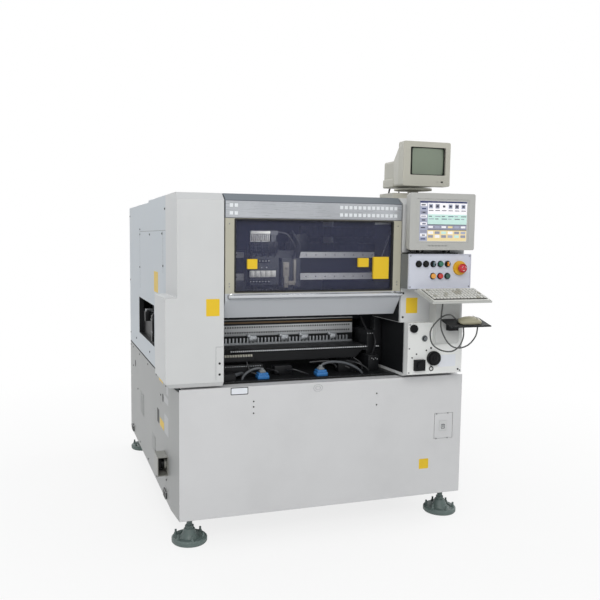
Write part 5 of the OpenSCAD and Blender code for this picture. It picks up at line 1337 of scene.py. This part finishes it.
# lower cabinet
cabinetSide = 665.0   # from the middle to the lower cabinet's sides
for way, label in ((-1, "left"), (1, "right")):
    face = way * cabinetSide
    outward = (way, 0, 0)
    a, b = sorted((face + way * 0.5, face - way * 0.1))
    bm = bmesh.new()   # oval hand holes, a dark square plate, and caps of the lifting grips
    for y, z, wide, tallness in ((1304, 548, 18, 38), (336, 558, 18, 38)):
        addPlate(bm, roundRect(y - wide, y + wide, z - tallness / 2, z + tallness / 2, 17), "x", a, b)
    addPlate(bm, roundRect(443, 500, 413, 477, 4), "x", a, b)
    for y0 in (230, 1370):
        addBlock(bm, sorted((face + way * 9.8, face - way * 0.5)), (y0 - 1, y0 + 61), (127, 163), 5)
    keep(bm, label + "DarkFittings", "machine", "blackPlastic")
    louvres = ((610, 7, 100, 236), (1025, 10, 130, 320))   # middle, count, width and lowest slot of each field
    bm = bmesh.new()   # pressed louvres, each a small hood over its slot
    for yMid, count, width, low in louvres:
        for i in range(count):
            z = low + 12 * i + 2.5
            rise = [bm.verts.new(at(face + way * out, y, z + dz)) for y in (yMid - width / 2, yMid + width / 2)
                for out, dz in ((-0.5, 0), (2.6, 1.2), (-0.5, 8.0))]
            for f in ((0, 1, 4, 3), (1, 2, 5, 4), (2, 0, 3, 5), (0, 2, 1), (3, 4, 5)):
                bm.faces.new([rise[k] for k in f])
    for ys, zs in (((543, 612), (383, 447)), ((393, 437), (513, 562))):   # blank covers
        addPlate(bm, roundRect(*ys, *zs, 3), "x", a, b)
    keep(bm, label + "Louvres", "machine", "sideCabinetPaint")
    bm = bmesh.new()
    for yMid, count, width, low in louvres:
        for i in range(count):
            addBlock(bm, sorted((face + way * 0.35, face - way * 0.1)),
                (yMid - width / 2 + 1, yMid + width / 2 - 1), (low + 12 * i - 1.6, low + 12 * i + 2.4))
    # shadow gap under the covers
    addBlock(bm, sorted((face + way * 0.4, face - way * 0.1)), (250, 1526), (648.4, 654.6))
    keep(bm, label + "LouvreSlots", "machine", "screwRecess")
    bm = bmesh.new()
    for y0, y1, z0, z1 in ((330, 441, 622, 648), (309, 420, 414, 450)) if way < 0 else ((380, 470, 560, 620),):
        addPlate(bm, roundRect(y0, y1, z0, z1, 3), "x", a, b)
    keep(bm, label + "YellowPlates", "machine", "barePlateYellow")
    bm = bmesh.new()
    for y0, y1, z0, z1 in ((190, 296, 552, 582), (190, 296, 414, 500), (188, 240, 596, 640)):
        addPlate(bm, roundRect(y0, y1, z0, z1, 2), "x", a, b)
    keep(bm, label + "BarePlates", "machine", "barePlateGrey")
    lowScrews = [(face, y, z) for y in (250, 520, 800, 1120, 1400, 1510) for z in (630, 136)] + [(face, y, z)
        for y, z in ((392, 560), (560, 250), (1200, 420), (1400, 520), (250, 210), (380, 200))]
    screws(label + "LowerScrews", "machine", lowScrews, outward, 5.0, 2.2, darkScrews)
frontFace = -0.5
bm = bmesh.new()   # bare plate on the front panel
addPlate(bm, roundRect(-437, -368, 632, 657, 3), "y", frontFace, 0.1)
keep(bm, "frontBarePlate", "machine", "barePlateWhite")
bm = bmesh.new()
edgeFrame(bm, (-440, -365), (629, 660), 0, 3, (4, 3), frontFace - 0.1, 0.1)
keep(bm, "frontPlateEdge", "machine", "blackPlastic")
bm = bmesh.new()
addPlate(bm, roundRect(443, 491, 236, 282, 3), "y", frontFace, 0.1)
keep(bm, "frontYellowPlate", "machine", "barePlateYellow")
earthDots = [(x, -0.1, z) for x, z in ellipse(-54, 638, 20, 15, 20) + ellipse(-54, 638, 11, 8, 11)]
tiles("frontDotRing", "machine", earthDots, front, 3.0, 3.0, 0.4, "frameGrey", round=True)
holes = [(-341, -0.05, z) for z in (597, 574, 547)] + [(224, -0.05, z) for z in (598, 547)]
tiles("frontHolePlugs", "machine", holes, front, 6.4, 6.4, 0.5, "screwRecess", round=True)
bm = bmesh.new()   # flush latch of the hatch
hatchX, hatchY, hatchZ = span("hatch_door")
addPlate(bm, roundRect(541, 579, 406, 451, 4), "y", -1.9, -1.4)
keep(bm, "hatchLatch", "hatch", "coverPaint")
bm = bmesh.new()
edgeFrame(bm, (551, 570), (415, 437), 0, 3, (3, 2), -2.4, -1.8)
addBlock(bm, (558, 563), (-2.6, -1.8), (421, 434), 0.4)
keep(bm, "hatchLatchPull", "hatch", "boxGrey")
screws("hatchScrews", "hatch", [(x, hatchY[0], z) for x in (hatchX[0] + 8, hatchX[1] - 26)
    for z in (hatchZ[0] + 8, hatchZ[1] - 8)], front, 3.4, 1.6)
print("lower cabinet dressed")

# side covers: joints and screws
for way, label in ((-1, "left"), (1, "right")):
    face = way * cabinetSide
    bm = bmesh.new()
    for ys, zs in (((206, 1075), (1302, 1304.2)), ((1074, 1076.2), (1000, 1302)), ((316, 318.2), (1118, 1302))):
        addBlock(bm, sorted((face + way * 0.3, face - way * 0.1)), (max(ys[0], 250), ys[1]), zs)
    keep(bm, label + "CoverJoints", "machine", "frameGrey")
bm = bmesh.new()   # seam between the front cover's cheek and its body, and its stepped lower strip
addBlock(bm, (leftX[1] - 33, leftX[1] - 32), (leftY[0] - 0.3, leftY[0] + 0.1), (700, 836))
addBlock(bm, (leftX[1] - 33, leftX[1] - 0.5), (leftY[0] - 0.3, leftY[0] + 0.1), (835, 836.2))
keep(bm, "frontCoverSeam", "machine", "frameGrey")
print("side covers jointed")

# lower switch plate
plateFace = span("lower_switch_plate")[1][0]
bm = bmesh.new()
addPlate(bm, roundRect(489, 577, 714, 767, 3), "y", plateFace - 0.5, plateFace + 0.1)
keep(bm, "switchBarePlate", "machine", "barePlateWhite")
bm = bmesh.new()   # small caps, ring and lanyard
for x, z, r in ((452, 800, 4.5), (381, 775, 3.5), (360, 760, 3.2), (429, 790, 3.4), (436, 762, 3.4), (590, 700, 4)):
    addTurned(bm, [(0, 0), (r, 0), (r, 2), (r * 0.7, 3), (0, 3)], (x, plateFace + 0.1, z), front, 18)
addTube(bm, [(x, plateFace - 3, z) for x, z in ellipse(455, 708, 9, 9, 14, 1)], 1.8, 8, 1, route=False)
addTube(bm, [(455, plateFace - 3, 717), (452, plateFace - 4, 728), (458, plateFace - 5, 738),
    (462, plateFace - 9, 742)], 1.4, 8, 4)
keep(bm, "switchSmallFittings", "machine", "blackPlastic")
bm = bmesh.new()   # ribs of the round connectors and the knob's grip
for cx, cz, radius, out, count in ((463, 755, 31, 16, 24), (463, 755, 25, 22, 20), (393, 727, 15, 22, 14),
        (363, 888, 17, 12, 18)):
    for x, z in ellipse(cx, cz, radius, radius, count):
        addTube(bm, [(x, plateFace - out + 1.0, z), (x, plateFace - out + (14 if radius > 20 else 10), z)], 1.1, 6,
            1, route=False)
addTurned(bm, [(0, 0), (12, 0), (12, 3), (9, 5), (3, 5), (3, 2), (0, 2)], (463, plateFace - 21.9, 755), front, 28)
keep(bm, "socketRibs", "machine", "blackPlastic")
bm = bmesh.new()
addTurned(bm, [(10.2, 0), (14, 0), (14, 2), (12, 3.4), (10.2, 3.4)], (419, plateFace + 0.1, 843), front, 28)
addTurned(bm, [(0, 0), (8, 0), (8.4, 1.2), (7, 3), (0, 3)], (419, plateFace - 7.9, 843), front, 24)
keep(bm, "greyPush", "machine", "frameGrey")
screws("switchPlateScrews", "machine", [(x, plateFace, z) for x in (346, 600) for z in (694, 800, 905)],
    front, 4.0, 1.8)
bm = bmesh.new()   # black bracket under the keyboard tray and the mouse tray's arm
for xs in ((392, 440), (582, 604)):
    corner = [bm.verts.new(at(*onSlope(x, along, up))) for x in xs for along in (-62, -24) for up in (-14, -2)]
    for f in ((0, 1, 3, 2), (4, 6, 7, 5), (0, 4, 5, 1), (2, 3, 7, 6), (0, 2, 6, 4), (1, 5, 7, 3)):
        bm.faces.new([corner[i] for i in f])
keep(bm, "trayBracket", "keyboard_shelf", "blackPaint")
print("switch plate dressed")

# back and roof
backFace = 1530.0
bm = bmesh.new()   # service doors' seams and the dark fields behind the fan grilles
for x0, x1, z0, z1 in ((-640, -20, 150, 640), (20, 640, 150, 640)):
    edgeFrame(bm, (x0, x1), (z0, z1), 0, 2.2, (10, 9), backFace - 0.1, backFace + 0.3)
for x in (-460, 460):
    addTurned(bm, [(0, -0.1), (60, -0.1), (60, 0.35), (0, 0.35)], (x, backFace, 520), back, 48)
keep(bm, "rearSeams", "machine", "screwRecess")
bm = bmesh.new()   # fan grilles
for x in (-460, 460):
    for radius in (14, 24, 34, 44, 54):
        addTube(bm, [(u, backFace + 2.2, v) for u, v in ellipse(x, 520, radius, radius, 40, 1)], 1.3, 6, 1,
            route=False)
    for k in range(4):
        turn = math.tau * k / 8 + math.pi / 8
        addTube(bm, [(x - 60 * math.cos(turn), backFace + 2.2, 520 - 60 * math.sin(turn)),
            (x + 60 * math.cos(turn), backFace + 2.2, 520 + 60 * math.sin(turn))], 1.5, 6, 1, route=False)
keep(bm, "fanGrilles", "machine", "frameGrey")
bm = bmesh.new()   # air unit, mains inlet and door handles
addBlock(bm, (-20, 60), (backFace - 1, backFace + 3.6), (170, 250), 2)
addTurned(bm, [(0, 0), (12, 0), (12, 2), (9, 3.2), (0, 3.2)], (0, backFace, 300), back, 24)
for x in (-60, 60):
    addPlate(bm, roundRect(x - 18, x + 18, 380, 440, 6), "y", backFace - 0.2, backFace + 3.0, 0.8)
keep(bm, "rearFittings", "machine", "blackPlastic")
rearScrews = [(x, backFace, z) for x in (-650, -330, -8, 8, 330, 650) for z in (128, 400, 646)] + [(x, backFace, z)
    for x in (-620, -200, 200, 620) for z in (690, 1040)]
screws("rearScrews", "machine", rearScrews, back, 5.0, 2.2)
rearHoodY = span("rear_hood_frame")[1]
bm = bmesh.new()
edgeFrame(bm, (-557, 557), (1119, 1380), 0, 6, (6, 5), 1512.1, 1517)
keep(bm, "rearWindowSeal", "rear_hood", "rubberBlack")
screws("rearHoodScrews", "rear_hood", [(x, rearHoodY[1], z) for x in (-600, -200, 200, 600)
    for z in (1075, 1410)], back, 4.6, 2.0)
bm = bmesh.new()   # low collars on the roof and the frame of its vent field
for x, y in ((-560, 320), (-560, 690), (560, 690)):
    addTurned(bm, [(0, -0.5), (15, -0.5), (15, 2.0), (12, 3.2), (6, 3.2), (5, 1.0), (0, 1.0)], (x, y, topHeight),
        upWay, 28)
edgeFrame(bm, (-200, 120), (330, 660), 0, 2.5, (12, 10), topHeight - 0.1, topHeight + 0.5, "z")
keep(bm, "roofFittings", "machine", "frameGrey")
ventPoints = [(-160 + 12 * i, 420 + 75 * j, topHeight + 0.1) for i in range(22) for j in range(3)]
tiles("roofVents", "machine", ventPoints, upWay, 4, 60, 0.5, "screwRecess")
print("back and roof dressed")

# leads behind the two screens
bm = bmesh.new()
addTube(bm, [(440, 299, 1545), (438, 318, 1540), (432, 330, 1510), (424, 326, 1476), (420, 316, 1452)], 4, 10, 6)
addTube(bm, [(476, 299, 1545), (478, 316, 1538), (480, 324, 1510), (478, 322, 1478), (476, 314, 1452)], 3, 10, 6)
leads = keep(bm, "monitorLeads", None, "wireBlack")
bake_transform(leads)
bm = bmesh.new()
addTube(bm, [(360, -33, 1330), (352, -26.5, 1310), (345, -26.5, 1270), (345, -27, 1236), (350, -40, 1222)], 2.4, 8,
    5)
keep(bm, "screenLeads", "machine", "wireBlack")
bm = bmesh.new()   # grommets where the leads go into the roof
for x, y in ((420, 316), (476, 314)):
    addTurned(bm, [(4.4, 0), (11, 0), (11, 2), (8, 5), (4.4, 6)], (x, y, topHeight - 0.4), upWay, 24)
keep(bm, "leadGrommets", "machine", "rubberBlack")
print("screen leads set")

print("pieces dressed")
